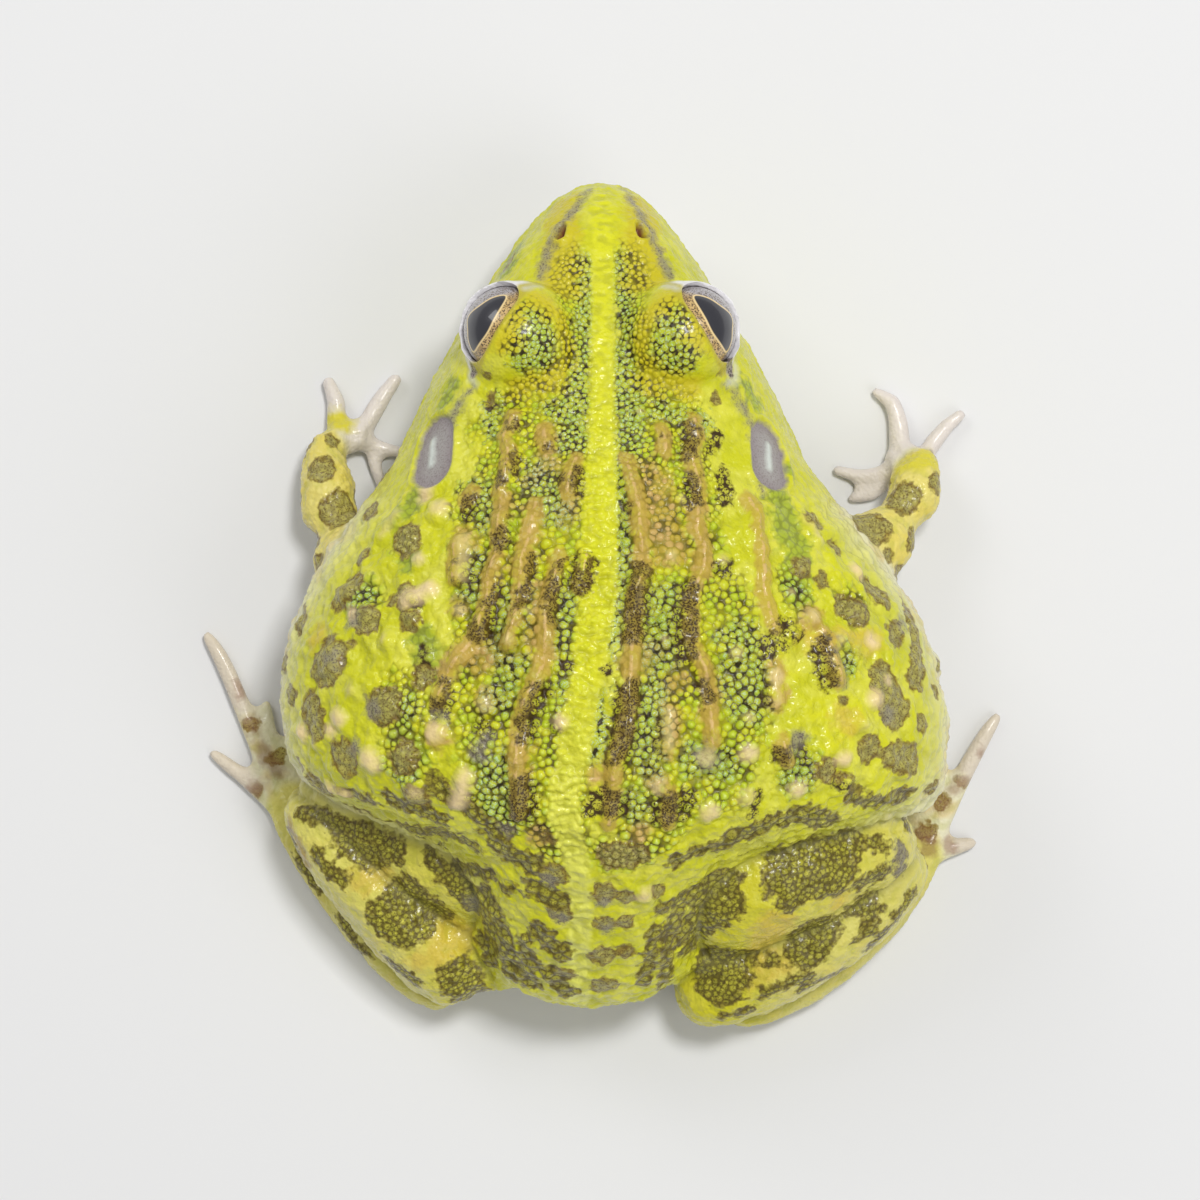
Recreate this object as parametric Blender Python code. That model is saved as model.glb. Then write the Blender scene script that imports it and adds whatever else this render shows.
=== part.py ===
"""A young African bullfrog at rest, life size, as a still model.

The head looks along -Y, the back is up (+Z) and the belly, hands and feet lie on the plane z = 0.
All sizes are in millimetres and become metres when a mesh is made.
The animal's left side is at +X.
"""
import math

import bmesh
import bpy
import numpy
from mathutils import Matrix, Vector

# Driving sizes, in millimetres
MM = 0.001
GAP = 0.3  # clear space between two pieces that touch in life
FLOOR = 0.0

# The trunk and head are one row of rounded sections from the snout to the vent.
# y, lean to the left, half width, height of the widest line, top, underside, roundness above and below.
# The lean makes the left half wider and the right half narrower by as much.
SECTIONS = (
    (-50.9, 0.0, 2.0, 12.9, 16.0, 10.2, 2.1, 2.0),
    (-49.8, 0.0, 4.4, 12.9, 18.2, 8.6, 2.1, 2.0),
    (-47.2, 0.0, 7.2, 12.8, 21.2, 6.8, 2.2, 2.0),
    (-42.6, 0.0, 10.8, 12.6, 24.2, 4.9, 2.4, 2.1),
    (-37.0, 0.0, 14.4, 12.3, 26.6, 3.4, 2.9, 2.2),
    (-32.0, 0.0, 17.4, 12.3, 28.6, 2.4, 3.2, 2.2),
    (-25.2, 0.0, 21.2, 12.8, 31.2, 1.3, 2.8, 2.3),
    (-19.3, 0.0, 23.8, 13.1, 33.4, 0.6, 2.4, 2.3),
    (-12.0, -0.1, 28.9, 13.8, 36.1, -0.2, 2.3, 2.3),
    (-4.7, -0.4, 34.2, 14.6, 38.4, -0.7, 2.2, 2.4),
    (4.2, -1.0, 39.0, 15.4, 40.8, -0.9, 2.1, 2.4),
    (14.0, -1.7, 40.5, 15.8, 42.0, -0.9, 2.1, 2.4),
    (20.6, -2.2, 39.0, 15.8, 41.4, -0.8, 2.1, 2.4),
    (24.2, -3.4, 34.6, 15.6, 40.6, -0.7, 2.1, 2.4),
    (27.2, -3.2, 26.6, 15.4, 39.4, -0.6, 2.1, 2.3),
    (30.4, -0.4, 18.4, 15.2, 37.2, -0.4, 2.1, 2.3),
    (36.0, 0.9, 14.6, 14.8, 32.2, -0.2, 2.1, 2.2),
    (42.0, 1.2, 12.8, 14.2, 26.2, 0.6, 2.1, 2.1),
    (46.2, 1.1, 9.8, 13.4, 21.0, 3.2, 2.0, 2.0),
    (48.2, 0.9, 6.0, 12.8, 17.0, 7.0, 2.0, 2.0),
    (48.9, 0.6, 2.4, 12.6, 14.2, 10.4, 2.0, 2.0),
)
BODY_SIDES = 38
BODY_STEP = 3.0
SNOUT_BACK_Y = -46.0  # in front of this, and behind the next, the sections lie closer
RUMP_FRONT_Y = 45.0
END_BULGE = 0.4  # how far the rounded ends stand past the first and last section
END_SCALE = 0.45

# Where the head ends, and where the mouth ends in front of that
NECK_Y = -12.4
MOUTH_CORNER_Y = -17.5
JAW_BACK = ((-14.6, 11.0), (-12.0, 8.4))  # (y, z) of the parting behind the mouth's corner
LIP_Y = (-22.0, -27.0, -32.0, -37.0, -41.5, -45.5, -48.4, -50.1)
LIP_TIP_Y = -51.0
LIP_RADIUS = 0.9
LIP_CORNER_SCALE = 0.7
LIP_INSET = 0.45
LIP_SIDES = 7
LIP_STEP = 2.8
CUT_REACH = 60.0  # half the width, and the height, of the sheets that part the body

# Eyes, with the lids round them
EYE_PLACE = (10.9, -32.6, 27.4)
EYE_RADIUS = 5.3
LID_RADIUS = 6.15
LID_OPENING = (5.25, 4.1)  # half length and half height of the slit between the lids
LID_OPENING_TILT = math.radians(10)  # how far its front corner is turned up
LID_OPENING_REACH = 9.0
LID_OPENING_SIDES = 28
GAZE_FORWARD = math.radians(25)
GAZE_UP = math.radians(41)
BROW_PLACE = (9.3, -31.8, 27.0)
BROW_SIZE = (7.1, 6.9, 6.6)

# Nostrils and eardrums
NOSTRIL_PLACE = (4.7, -44.8)
NOSTRIL_SIZE = (0.85, 1.15, 1.5)
NOSTRIL_RIM = (1.7, 2.0, 1.2)
NOSTRIL_RIM_SINK = 0.7
NOSTRIL_LIFT = 0.3
EARDRUM_PLACE = (19.9, -18.3)
EARDRUM_SIZE = (3.0, 4.5)
EARDRUM_LEAN = 0.12
EARDRUM_RIM = 0.9
EARDRUM_RIM_ROOT = 2.2
EARDRUM_RIM_SINK = 0.1
EARDRUM_RIM_CROWN = 0.55
EARDRUM_DEPTH = 1.2
EARDRUM_CROWN = 0.35
CROWN_SCALE = 0.55
REACH_CLEAR = 4.0  # how far a cutter stands out of the surface that it cuts

# Limbs: each point of a path is (x, y, z, half width, half height)
UPPER_ARMS = {
    "left": ((22.0, -6.0, 14.0, 5.2, 5.6), (29.5, -5.2, 10.6, 5.0, 5.4), (34.0, -7.2, 7.6, 4.5, 4.8)),
    "right": ((-24.0, -4.5, 13.0, 4.6, 5.0), (-31.5, -6.4, 10.0, 4.7, 4.8), (-38.2, -9.6, 7.6, 4.4, 4.6)),
}
FOREARMS = {
    "left": ((33.4, -8.0, 7.2, 4.2, 4.4), (33.2, -13.0, 6.4, 3.9, 4.0), (34.2, -17.8, 5.0, 2.8, 3.1),
             (33.6, -21.4, 3.6, 2.1, 2.5)),
    "right": ((-38.4, -9.8, 7.2, 4.3, 4.4), (-38.4, -13.8, 6.4, 3.9, 4.0), (-39.6, -17.2, 4.8, 2.6, 3.0),
              (-40.0, -19.0, 3.6, 2.1, 2.4)),
}
HANDS = {
    "left": ((33.2, -20.6, 2.6, 2.6, 2.4), (30.6, -21.2, 2.2, 2.7, 2.2), (28.4, -20.4, 1.8, 2.4, 1.9)),
    "right": ((-39.6, -18.2, 2.6, 2.5, 2.4), (-37.4, -17.4, 2.2, 2.6, 2.2), (-35.6, -16.2, 1.8, 2.3, 1.9)),
}
FINGERS = {
    "left": (
        ((28.4, -18.8, 1.0, 1.1, 1.1), (27.2, -16.0, 0.9, 1.0, 1.0), (26.6, -13.4, 0.8, 0.8, 0.9)),
        ((29.0, -20.0, 1.2, 1.2, 1.2), (26.0, -19.2, 1.0, 1.05, 1.1), (23.6, -18.6, 0.9, 0.85, 0.9)),
        ((29.6, -21.0, 1.5, 1.5, 1.5), (27.0, -25.6, 1.1, 1.2, 1.2), (24.8, -28.6, 1.0, 1.0, 1.1)),
        ((32.8, -21.2, 1.6, 1.6, 1.6), (32.6, -25.6, 1.2, 1.25, 1.3), (34.0, -28.3, 1.0, 1.0, 1.1)),
    ),
    "right": (
        ((-36.0, -15.6, 1.0, 1.1, 1.1), (-33.0, -13.4, 0.9, 1.0, 1.0), (-30.6, -13.2, 0.8, 0.8, 0.9)),
        ((-36.0, -16.4, 1.2, 1.2, 1.2), (-31.8, -15.9, 1.0, 1.0, 1.1), (-28.7, -16.9, 0.9, 0.8, 0.9)),
        ((-37.0, -17.0, 1.6, 1.7, 1.6), (-37.0, -22.2, 1.3, 1.35, 1.3), (-36.0, -25.4, 1.1, 1.15, 1.2),
         (-33.6, -26.6, 0.9, 0.8, 0.9)),
        ((-39.6, -17.6, 1.6, 1.4, 1.6), (-42.4, -21.6, 1.2, 1.1, 1.2), (-45.2, -24.0, 1.0, 0.9, 1.0)),
    ),
}
THIGHS = {
    "left": ((8.0, 34.0, 14.0, 7.5, 9.0), (18.0, 30.6, 13.6, 7.0, 8.6), (28.0, 25.6, 11.6, 5.6, 7.4),
             (36.4, 20.6, 9.8, 4.0, 5.2)),
    "right": ((-8.0, 36.0, 14.5, 9.0, 10.5), (-20.0, 32.4, 15.2, 8.4, 11.2), (-30.0, 29.8, 13.4, 6.6, 8.8),
              (-38.2, 28.0, 11.0, 4.4, 5.8)),
}
SHANKS = {
    "left": ((37.4, 22.6, 10.0, 3.6, 5.6), (31.4, 30.4, 10.0, 4.8, 7.6), (26.0, 36.0, 9.6, 5.6, 8.2),
             (20.4, 41.8, 8.6, 5.8, 7.4), (15.2, 47.8, 7.0, 4.8, 5.8)),
    "right": ((-39.0, 29.6, 9.6, 3.8, 5.6), (-31.6, 37.0, 9.4, 5.0, 7.0), (-22.8, 42.6, 9.0, 5.6, 7.2),
              (-14.6, 46.8, 7.8, 5.0, 6.2), (-9.2, 48.6, 7.0, 4.4, 5.4)),
}
FEET = {
    "left": ((18.0, 48.8, 3.4, 2.6, 3.4), (24.6, 44.6, 2.9, 2.8, 3.0), (33.2, 34.4, 2.4, 2.8, 2.6),
             (37.4, 26.6, 2.0, 3.2, 2.2), (39.4, 22.4, 1.7, 3.2, 1.9)),
    "right": ((-15.0, 50.4, 3.4, 2.6, 3.4), (-24.6, 47.2, 2.9, 2.8, 3.0), (-34.0, 39.6, 2.4, 2.8, 2.6),
              (-38.6, 32.6, 2.0, 3.1, 2.2), (-40.4, 28.6, 1.7, 3.1, 1.9)),
}
TOES = {
    "left": (
        ((37.2, 24.4, 0.9, 0.9, 0.9), (36.0, 19.4, 0.8, 0.75, 0.8)),
        ((38.0, 23.8, 1.0, 1.0, 1.0), (38.4, 18.6, 0.9, 0.9, 0.9), (37.8, 15.6, 0.8, 0.75, 0.8)),
        ((39.0, 23.6, 1.1, 1.15, 1.1), (40.7, 16.6, 1.0, 1.0, 1.0), (41.4, 11.6, 0.8, 0.85, 0.9)),
        ((39.8, 23.6, 1.4, 1.6, 1.4), (42.7, 16.6, 1.2, 1.3, 1.2), (46.4, 7.6, 1.1, 1.25, 1.1),
         (49.0, 3.2, 0.9, 0.9, 0.9)),
        ((40.0, 25.0, 1.3, 1.5, 1.3), (43.2, 22.0, 1.1, 1.25, 1.1), (48.4, 18.0, 0.9, 0.9, 0.9)),
    ),
    "right": (
        ((-38.2, 30.4, 0.9, 0.9, 0.9), (-37.8, 24.8, 0.8, 0.75, 0.8)),
        ((-39.0, 29.8, 1.0, 1.0, 1.0), (-39.6, 24.4, 0.9, 0.9, 0.9), (-39.4, 21.6, 0.8, 0.75, 0.8)),
        ((-40.0, 29.6, 1.1, 1.15, 1.1), (-41.6, 23.4, 1.0, 1.0, 1.0), (-42.2, 19.2, 0.8, 0.85, 0.9)),
        ((-40.8, 29.8, 1.4, 1.6, 1.4), (-43.8, 23.4, 1.2, 1.4, 1.2), (-46.9, 17.4, 1.1, 1.25, 1.1),
         (-49.5, 13.3, 0.9, 0.9, 0.9)),
        ((-40.6, 31.4, 1.3, 1.4, 1.3), (-44.2, 29.8, 1.1, 1.25, 1.1), (-46.8, 29.3, 0.9, 1.0, 0.9)),
    ),
}
LIMB_SIDES = 14
LIMB_STEP = 3.0
FOOT_SIDES = 12
HAND_STEP = 1.8
DIGIT_SIDES = 8
DIGIT_STEP = 2.4
ROUND_END = (14, 38, 64)  # where the rings of a rounded end lie, in degrees from its tip
PLAIN_END = (24, 60)

# Skin folds along the back: each is a low rounded crest through (x, y) points
FOLD_RADIUS = 1.15
FOLD_TIP_SCALE = 0.75
FOLD_SINK = 0.45
FOLD_SIDES = 6
FOLD_STEP = 3.2
FOLDS = (
    ((10.0, -22.1), (10.9, -19.6), (10.6, -17.4), (11.4, -15.0)),
    ((11.6, -11.4), (11.3, -9.6), (11.8, -4.9), (12.4, -1.8), (13.5, 2.5), (15.1, 4.2), (18.0, 8.1),
     (19.0, 11.1)),
    ((7.5, -11.4), (8.2, -8.3), (8.9, -3.8), (9.7, 2.0), (10.8, 4.9)),
    ((2.8, -17.4), (3.7, -15.1)),
    ((4.8, -5.6), (5.9, -0.5), (6.5, 5.5), (7.4, 9.9), (9.3, 14.7), (9.3, 20.4), (9.3, 25.4)),
    ((6.6, -21.4), (6.2, -18.0)),
    ((14.9, -8.6), (16.4, -6.1), (16.5, -2.3)),
    ((15.8, 18.8), (16.3, 23.7)),
    ((-3.0, -17.6), (-3.5, -15.0)),
    ((-4.2, -11.2), (-5.0, -7.6), (-4.7, -2.9), (-4.2, 2.7), (-3.3, 8.7), (-2.6, 15.2), (-1.4, 24.8)),
    ((-6.6, -20.6), (-7.0, -17.8)),
    ((-10.9, -21.6), (-10.8, -17.4), (-11.4, -15.0)),
    ((-11.7, -9.9), (-12.0, -4.7), (-11.0, -1.7), (-10.5, 2.3), (-11.4, 5.8), (-13.1, 9.9)),
    ((-18.8, -8.6), (-19.2, -4.9), (-19.2, -1.6), (-20.4, 2.5), (-20.6, 9.4)),
    ((-7.4, 12.4), (-7.7, 16.4)),
    ((-25.3, 3.5), (-26.7, 6.6), (-28.0, 9.8)),
    ((15.9, -25.5), (17.4, -22.9), (17.2, -19.0), (17.0, -15.0)),
    ((-15.9, -25.5), (-17.4, -22.9), (-17.2, -19.0), (-17.0, -15.0)),
)

# Warts: (x, y, radius)
WART_HEIGHT = 0.55
WART_DEPTH = 0.9  # a wart's half height over its radius
WARTS = (
    (18.8, -10.0, 1.3), (21.1, -0.9, 1.1), (18.8, 15.6, 1.2), (30.0, 13.4, 1.1), (27.0, 17.7, 1.1),
    (22.8, 14.4, 1.0), (23.1, 17.8, 1.0), (20.9, 22.8, 1.0), (13.7, 12.7, 1.0), (22.6, -6.6, 1.4),
    (16.3, 0.8, 1.1), (27.6, -1.2, 1.1), (27.3, 2.4, 1.1), (25.6, 9.4, 1.3), (31.0, 5.6, 1.2),
    (6.2, 29.4, 1.2), (6.0, 33.4, 1.0), (-14.8, -4.3, 1.1), (-13.3, 18.1, 1.2), (-17.6, 15.4, 1.2),
    (-17.2, 22.4, 1.0), (-23.3, 21.6, 1.0), (-24.4, -0.6, 1.0), (-30.6, 11.3, 1.0), (-16.6, 6.0, 1.0),
    (-28.2, 16.6, 1.0), (-12.6, 23.6, 1.1), (-21.1, 17.0, 1.2), (-28.8, 1.4, 1.1), (-2.8, 29.2, 1.4),
    (-1.1, 33.4, 1.2), (-15.8, -10.4, 1.0), (22.0, 4.6, 1.1), (-7.4, -7.4, 1.0), (-7.4, 4.6, 1.0),
)

SKIN = ("skin", (0.55, 0.62, 0.03, 1.0), 0.42)
DIGIT_SKIN = ("pale_skin", (0.68, 0.60, 0.50, 1.0), 0.4)
EYE = ("eye", (0.03, 0.03, 0.04, 1.0), 0.05)
EARDRUM = ("eardrum", (0.33, 0.28, 0.26, 1.0), 0.4)
SHARP_ANGLE = math.radians(50)


def smooth_curve(xs, values):
    """A curve through the values that has no overshoot between them."""
    xs = numpy.asarray(xs, float)
    values = numpy.asarray(values, float)
    widths = numpy.diff(xs)
    slopes = numpy.diff(values) / widths
    tangents = numpy.empty(len(xs))
    tangents[0] = slopes[0]
    tangents[-1] = slopes[-1]
    for i in range(1, len(xs) - 1):
        before, after = slopes[i - 1], slopes[i]
        if before * after <= 0:
            tangents[i] = 0.0
        else:
            w1 = 2 * widths[i] + widths[i - 1]
            w2 = widths[i] + 2 * widths[i - 1]
            tangents[i] = (w1 + w2) / (w1 / before + w2 / after)

    def value_at(x):
        i = int(numpy.clip(numpy.searchsorted(xs, x) - 1, 0, len(widths) - 1))
        t = (x - xs[i]) / widths[i]
        t2, t3 = t * t, t * t * t
        return (values[i] * (2 * t3 - 3 * t2 + 1) + tangents[i] * widths[i] * (t3 - 2 * t2 + t)
                + values[i + 1] * (3 * t2 - 2 * t3) + tangents[i + 1] * widths[i] * (t3 - t2))

    return value_at


SECTION_Y = [row[0] for row in SECTIONS]
LEAN, HALF_WIDTH, WIDEST, TOP, UNDER, ROUND_TOP, ROUND_LOW = (
    smooth_curve(SECTION_Y, [row[i] for row in SECTIONS]) for i in range(1, 8))


def half_width(y, side):
    """Half width of the body at y, on the left if side is positive."""
    return HALF_WIDTH(y) + math.copysign(1.0, side) * LEAN(y)


def back_height(x, y):
    """Height of the back or head over the point (x, y)."""
    across = min(abs(x) / half_width(y, x), 0.999)
    power = ROUND_TOP(y)
    return WIDEST(y) + (TOP(y) - WIDEST(y)) * (1 - across ** power) ** (1 / power)


def skin_normal(x, y):
    """Direction that points out of the back at (x, y)."""
    step = 0.4
    dx = (back_height(x + step, y) - back_height(x - step, y)) / (2 * step)
    dy = (back_height(x, y + step) - back_height(x, y - step)) / (2 * step)
    return Vector((-dx, -dy, 1.0)).normalized()


def material(look):
    """The material of that name, made the first time."""
    name, colour, roughness = look
    if name in bpy.data.materials:
        return bpy.data.materials[name]
    made = bpy.data.materials.new(name)
    made.use_nodes = True
    shader = made.node_tree.nodes["Principled BSDF"]
    shader.inputs["Base Color"].default_value = colour
    shader.inputs["Roughness"].default_value = roughness
    shader.inputs["Metallic"].default_value = 0.0
    return made


def mesh_object(name, points, faces, look=SKIN):
    """One closed mesh from points in millimetres."""
    mesh = bpy.data.meshes.new(name)
    mesh.from_pydata([Vector(p) * MM for p in points], [], faces)
    shape = bmesh.new()
    shape.from_mesh(mesh)
    bmesh.ops.recalc_face_normals(shape, faces=shape.faces)
    shape.to_mesh(mesh)
    shape.free()
    made = bpy.data.objects.new(name, mesh)
    bpy.context.scene.collection.objects.link(made)
    mesh.materials.append(material(look))
    return made


def skin_rings(name, rings, look=SKIN):
    """A closed skin over a row of rings that have the same number of points."""
    count = len(rings[0])
    points = [p for ring in rings for p in ring]
    faces = []
    for i in range(len(rings) - 1):
        for j in range(count):
            k = (j + 1) % count
            faces.append((i * count + j, i * count + k, (i + 1) * count + k, (i + 1) * count + j))
    faces.append(tuple(range(count)))
    faces.append(tuple((len(rings) - 1) * count + j for j in range(count)))
    return mesh_object(name, points, faces, look)


def section(y, grow):
    """Points round the body at y, with the flat where it lies on the floor."""
    ring = []
    lowest = -math.inf if grow else FLOOR
    for j in range(BODY_SIDES):
        angle = 2 * math.pi * (j + 0.5) / BODY_SIDES
        side, up = math.cos(angle), math.sin(angle)
        power = 2 / (ROUND_TOP(y) if up > 0 else ROUND_LOW(y))
        reach = (TOP(y) - WIDEST(y) if up > 0 else WIDEST(y) - UNDER(y)) + grow
        x = math.copysign(abs(side) ** power, side) * (half_width(y, side) + grow)
        z = WIDEST(y) + math.copysign(abs(up) ** power, up) * reach
        ring.append((x, y, max(z, lowest)))
    return ring


def end_ring(y, shift, grow):
    """A small ring that rounds off the snout or the rump."""
    middle = Vector((0.0, y, WIDEST(y)))
    move = Vector((0.0, shift, 0.0))
    return [middle + move + (Vector(p) - middle) * END_SCALE for p in section(y, grow)]


def body(name, grow=0.0):
    """The trunk and head as one form, or that form with its surface moved out."""
    first, last = SECTION_Y[0], SECTION_Y[-1]
    length = RUMP_FRONT_Y - SNOUT_BACK_Y
    count = int(length / BODY_STEP)
    ys = [y for y in SECTION_Y if y < SNOUT_BACK_Y or y > RUMP_FRONT_Y]
    ys = sorted(ys + [SNOUT_BACK_Y + length * i / count for i in range(count + 1)])
    rings = [end_ring(first, -END_BULGE - grow, grow)]
    rings += [section(y, grow) for y in ys]
    rings.append(end_ring(last, END_BULGE + grow, grow))
    return skin_rings(name, rings)


def path_point(points, t):
    """A point on a smooth path through the points, for t from 0 to 1, with its half sizes."""
    rows = [numpy.array(p, float) for p in points]
    rows = [2 * rows[0] - rows[1]] + rows + [2 * rows[-1] - rows[-2]]
    place = t * (len(points) - 1)
    i = min(int(place), len(points) - 2)
    u = place - i
    a, b, c, d = rows[i:i + 4]
    bend = (2 * a - 5 * b + 4 * c - d) * u ** 2 + (3 * b - a - 3 * c + d) * u ** 3
    return 0.5 * (2 * b + (c - a) * u + bend)


def limb(name, points, sides=LIMB_SIDES, step=LIMB_STEP, grow=0.0, look=SKIN, end_turns=ROUND_END):
    """A rounded tube along a path, with round ends, lying flat where it meets the floor."""
    fine = 60
    probe = 0.3
    longest_end = 0.4
    line = numpy.array([path_point(points, i / fine) for i in range(fine + 1)])
    strides = numpy.linalg.norm(numpy.diff(line[:, :3], axis=0), axis=1)
    lengths = numpy.concatenate([[0], numpy.cumsum(strides)])
    total = lengths[-1]
    places = []
    for end_radius, sign, start in ((points[0][3], 1, 0.0), (points[-1][3], -1, total)):
        radius = min(end_radius, total * longest_end)
        for turn in end_turns:
            angle = math.radians(turn)
            places.append((start + sign * radius * (1 - math.cos(angle)), math.sin(angle)))
    low = max(p for p, _ in places[:len(end_turns)])
    high = min(p for p, _ in places[len(end_turns):])
    count = max(int((high - low) / step), 1)
    places += [(low + (high - low) * i / count, 1.0) for i in range(1, count)]
    places.sort()
    rings = []
    lowest = -math.inf if grow else FLOOR
    for place, scale in places:
        row = [numpy.interp(place, lengths, line[:, k]) for k in range(5)]
        ahead = numpy.array([numpy.interp(place + probe, lengths, line[:, k]) for k in range(3)])
        back = numpy.array([numpy.interp(place - probe, lengths, line[:, k]) for k in range(3)])
        along = Vector(ahead - back).normalized()
        side = along.cross(Vector((0, 0, 1))).normalized()
        up = side.cross(along)
        centre = Vector(row[:3])
        if grow and place == places[0][0]:
            centre -= along * grow
        if grow and place == places[-1][0]:
            centre += along * grow
        ring = []
        for j in range(sides):
            angle = 2 * math.pi * (j + 0.5) / sides
            p = (centre + side * math.cos(angle) * (row[3] * scale + grow)
                 + up * math.sin(angle) * (row[4] * scale + grow))
            ring.append((p.x, p.y, max(p.z, lowest)))
        rings.append(ring)
    return skin_rings(name, rings, look)


def ball(name, centre, size, detail=3, look=SKIN, turn=None):
    """A rounded ball or egg; turn is a rotation matrix."""
    shape = bmesh.new()
    bmesh.ops.create_icosphere(shape, subdivisions=detail, radius=1.0)
    turn = turn or Matrix.Identity(3)
    points = [Vector(centre) + turn @ Vector((v.co.x * size[0], v.co.y * size[1], v.co.z * size[2]))
              for v in shape.verts]
    faces = [tuple(v.index for v in f.verts) for f in shape.faces]
    shape.free()
    return mesh_object(name, points, faces, look)


def disc(name, centre, out, along, size, depth, proud, crown=0.0, sides=20, look=SKIN):
    """An oval plug along out, from depth below its centre to proud above it, with a crown on that."""
    side = along.cross(out).normalized()
    along = out.cross(side).normalized()
    levels = [(-depth, 1.0), (proud, 1.0)]
    if crown:
        levels.append((proud + crown, CROWN_SCALE))
    rings = []
    for height, scale in levels:
        middle = Vector(centre) + out * height
        ring = []
        for j in range(sides):
            angle = 2 * math.pi * j / sides
            ring.append(middle + side * math.cos(angle) * size[0] * scale
                        + along * math.sin(angle) * size[1] * scale)
        rings.append(ring)
    return skin_rings(name, rings, look)


def islands(shape):
    """Lists of the faces of each separate surface in a bmesh."""
    left = set(shape.faces)
    found = []
    while left:
        start = left.pop()
        group = [start]
        queue = [start]
        while queue:
            face = queue.pop()
            for edge in face.edges:
                for other in edge.link_faces:
                    if other in left:
                        left.remove(other)
                        group.append(other)
                        queue.append(other)
        found.append(group)
    return found


def keep_largest(target, rank=0):
    """Leave only the largest closed surface of an object, or the one of that rank by size."""
    shape = bmesh.new()
    shape.from_mesh(target.data)
    groups = sorted(islands(shape), key=lambda g: sum(f.calc_area() for f in g), reverse=True)
    for i, group in enumerate(groups):
        if i != rank:
            bmesh.ops.delete(shape, geom=group, context="FACES")
    loose = [v for v in shape.verts if not v.link_faces]
    bmesh.ops.delete(shape, geom=loose, context="VERTS")
    shape.to_mesh(target.data)
    shape.free()


def combine(target, others, operation, tidy=True):
    """Join the others to an object, or cut them from it, and remove them."""
    if not others:
        return
    group = bpy.data.collections.new("operands")
    bpy.context.scene.collection.children.link(group)
    for other in others:
        group.objects.link(other)
    change = target.modifiers.new("combine", "BOOLEAN")
    change.operation = operation
    change.operand_type = "COLLECTION"
    change.collection = group
    change.solver = "EXACT"
    bpy.context.view_layer.update()
    depsgraph = bpy.context.evaluated_depsgraph_get()
    mesh = bpy.data.meshes.new_from_object(target.evaluated_get(depsgraph))
    target.modifiers.clear()
    target.data = mesh
    for other in others:
        bpy.data.objects.remove(other)
    bpy.data.collections.remove(group)
    if tidy:
        keep_largest(target)


def fold(name, points):
    """A low crest that lies on the back, with its lower part sunk into it."""
    rows = []
    for i, (x, y) in enumerate(points):
        end = i in (0, len(points) - 1)
        radius = FOLD_RADIUS * (FOLD_TIP_SCALE if end else 1.0)
        place = Vector((x, y, back_height(x, y))) - skin_normal(x, y) * FOLD_SINK
        rows.append((place.x, place.y, place.z, radius, radius))
    return limb(name, rows, sides=FOLD_SIDES, step=FOLD_STEP, end_turns=PLAIN_END)


def wart(name, x, y, radius):
    """A low round bump that stands out of the back."""
    out = skin_normal(x, y)
    turn = out.to_track_quat("Z", "Y").to_matrix()
    depth = radius * WART_DEPTH
    centre = Vector((x, y, back_height(x, y))) + out * (WART_HEIGHT - depth)
    return ball(name, centre, (radius, radius, depth), detail=2, turn=turn)


def lips():
    """A rounded rim along the mouth, from one corner round the snout to the other."""
    side = []
    for y in (MOUTH_CORNER_Y,) + LIP_Y:
        radius = LIP_RADIUS * (LIP_CORNER_SCALE if y == MOUTH_CORNER_Y else 1.0)
        side.append((HALF_WIDTH(y) - LIP_INSET, y, WIDEST(y), radius, radius))
    tip = (0.0, LIP_TIP_Y + LIP_INSET, WIDEST(SECTION_Y[0]), LIP_RADIUS, LIP_RADIUS)
    points = side + [tip] + [(-x, y, z, r, h) for x, y, z, r, h in reversed(side)]
    return limb("lips", points, sides=LIP_SIDES, step=LIP_STEP, end_turns=PLAIN_END)


def gaze(side):
    """Direction that an eye looks in."""
    level = math.cos(GAZE_UP)
    across, ahead = level * math.cos(GAZE_FORWARD), level * math.sin(GAZE_FORWARD)
    return Vector((side * across, -ahead, math.sin(GAZE_UP)))


def mirrored(place, side):
    """A place on the left, or its mirror image on the right."""
    return Vector((side * place[0],) + tuple(place[1:]))


def lid_parts(side):
    """The brow and the ball of lids round an eye."""
    centre = mirrored(EYE_PLACE, side)
    return [ball("brow", mirrored(BROW_PLACE, side), BROW_SIZE),
            ball("lid_ball", centre, (LID_RADIUS,) * 3)]


def eye_cuts(side):
    """The hollow that holds an eye and the opening between its lids."""
    centre = mirrored(EYE_PLACE, side)
    out = gaze(side)
    forward = Vector((-side * abs(out.y), -abs(out.x), 0)).normalized()
    up = forward.cross(out) if side > 0 else out.cross(forward)
    along = forward * math.cos(LID_OPENING_TILT) + up * math.sin(LID_OPENING_TILT)
    half_length, half_height = LID_OPENING
    opening = disc("opening", centre, out, along, (half_height, half_length), 0.0, LID_OPENING_REACH,
                   sides=LID_OPENING_SIDES)
    return [ball("socket", centre, (EYE_RADIUS + GAP,) * 3), opening]


def nostril(side):
    """The swelling round a nostril and the pit in it."""
    x, y = side * NOSTRIL_PLACE[0], NOSTRIL_PLACE[1]
    out = skin_normal(x, y)
    turn = out.to_track_quat("Z", "Y").to_matrix()
    surface = Vector((x, y, back_height(x, y)))
    rim = ball("nostril_rim", surface - out * NOSTRIL_RIM_SINK, NOSTRIL_RIM, detail=2, turn=turn)
    pit = ball("nostril_pit", surface + out * NOSTRIL_LIFT, NOSTRIL_SIZE, detail=2, turn=turn)
    return rim, pit


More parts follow.
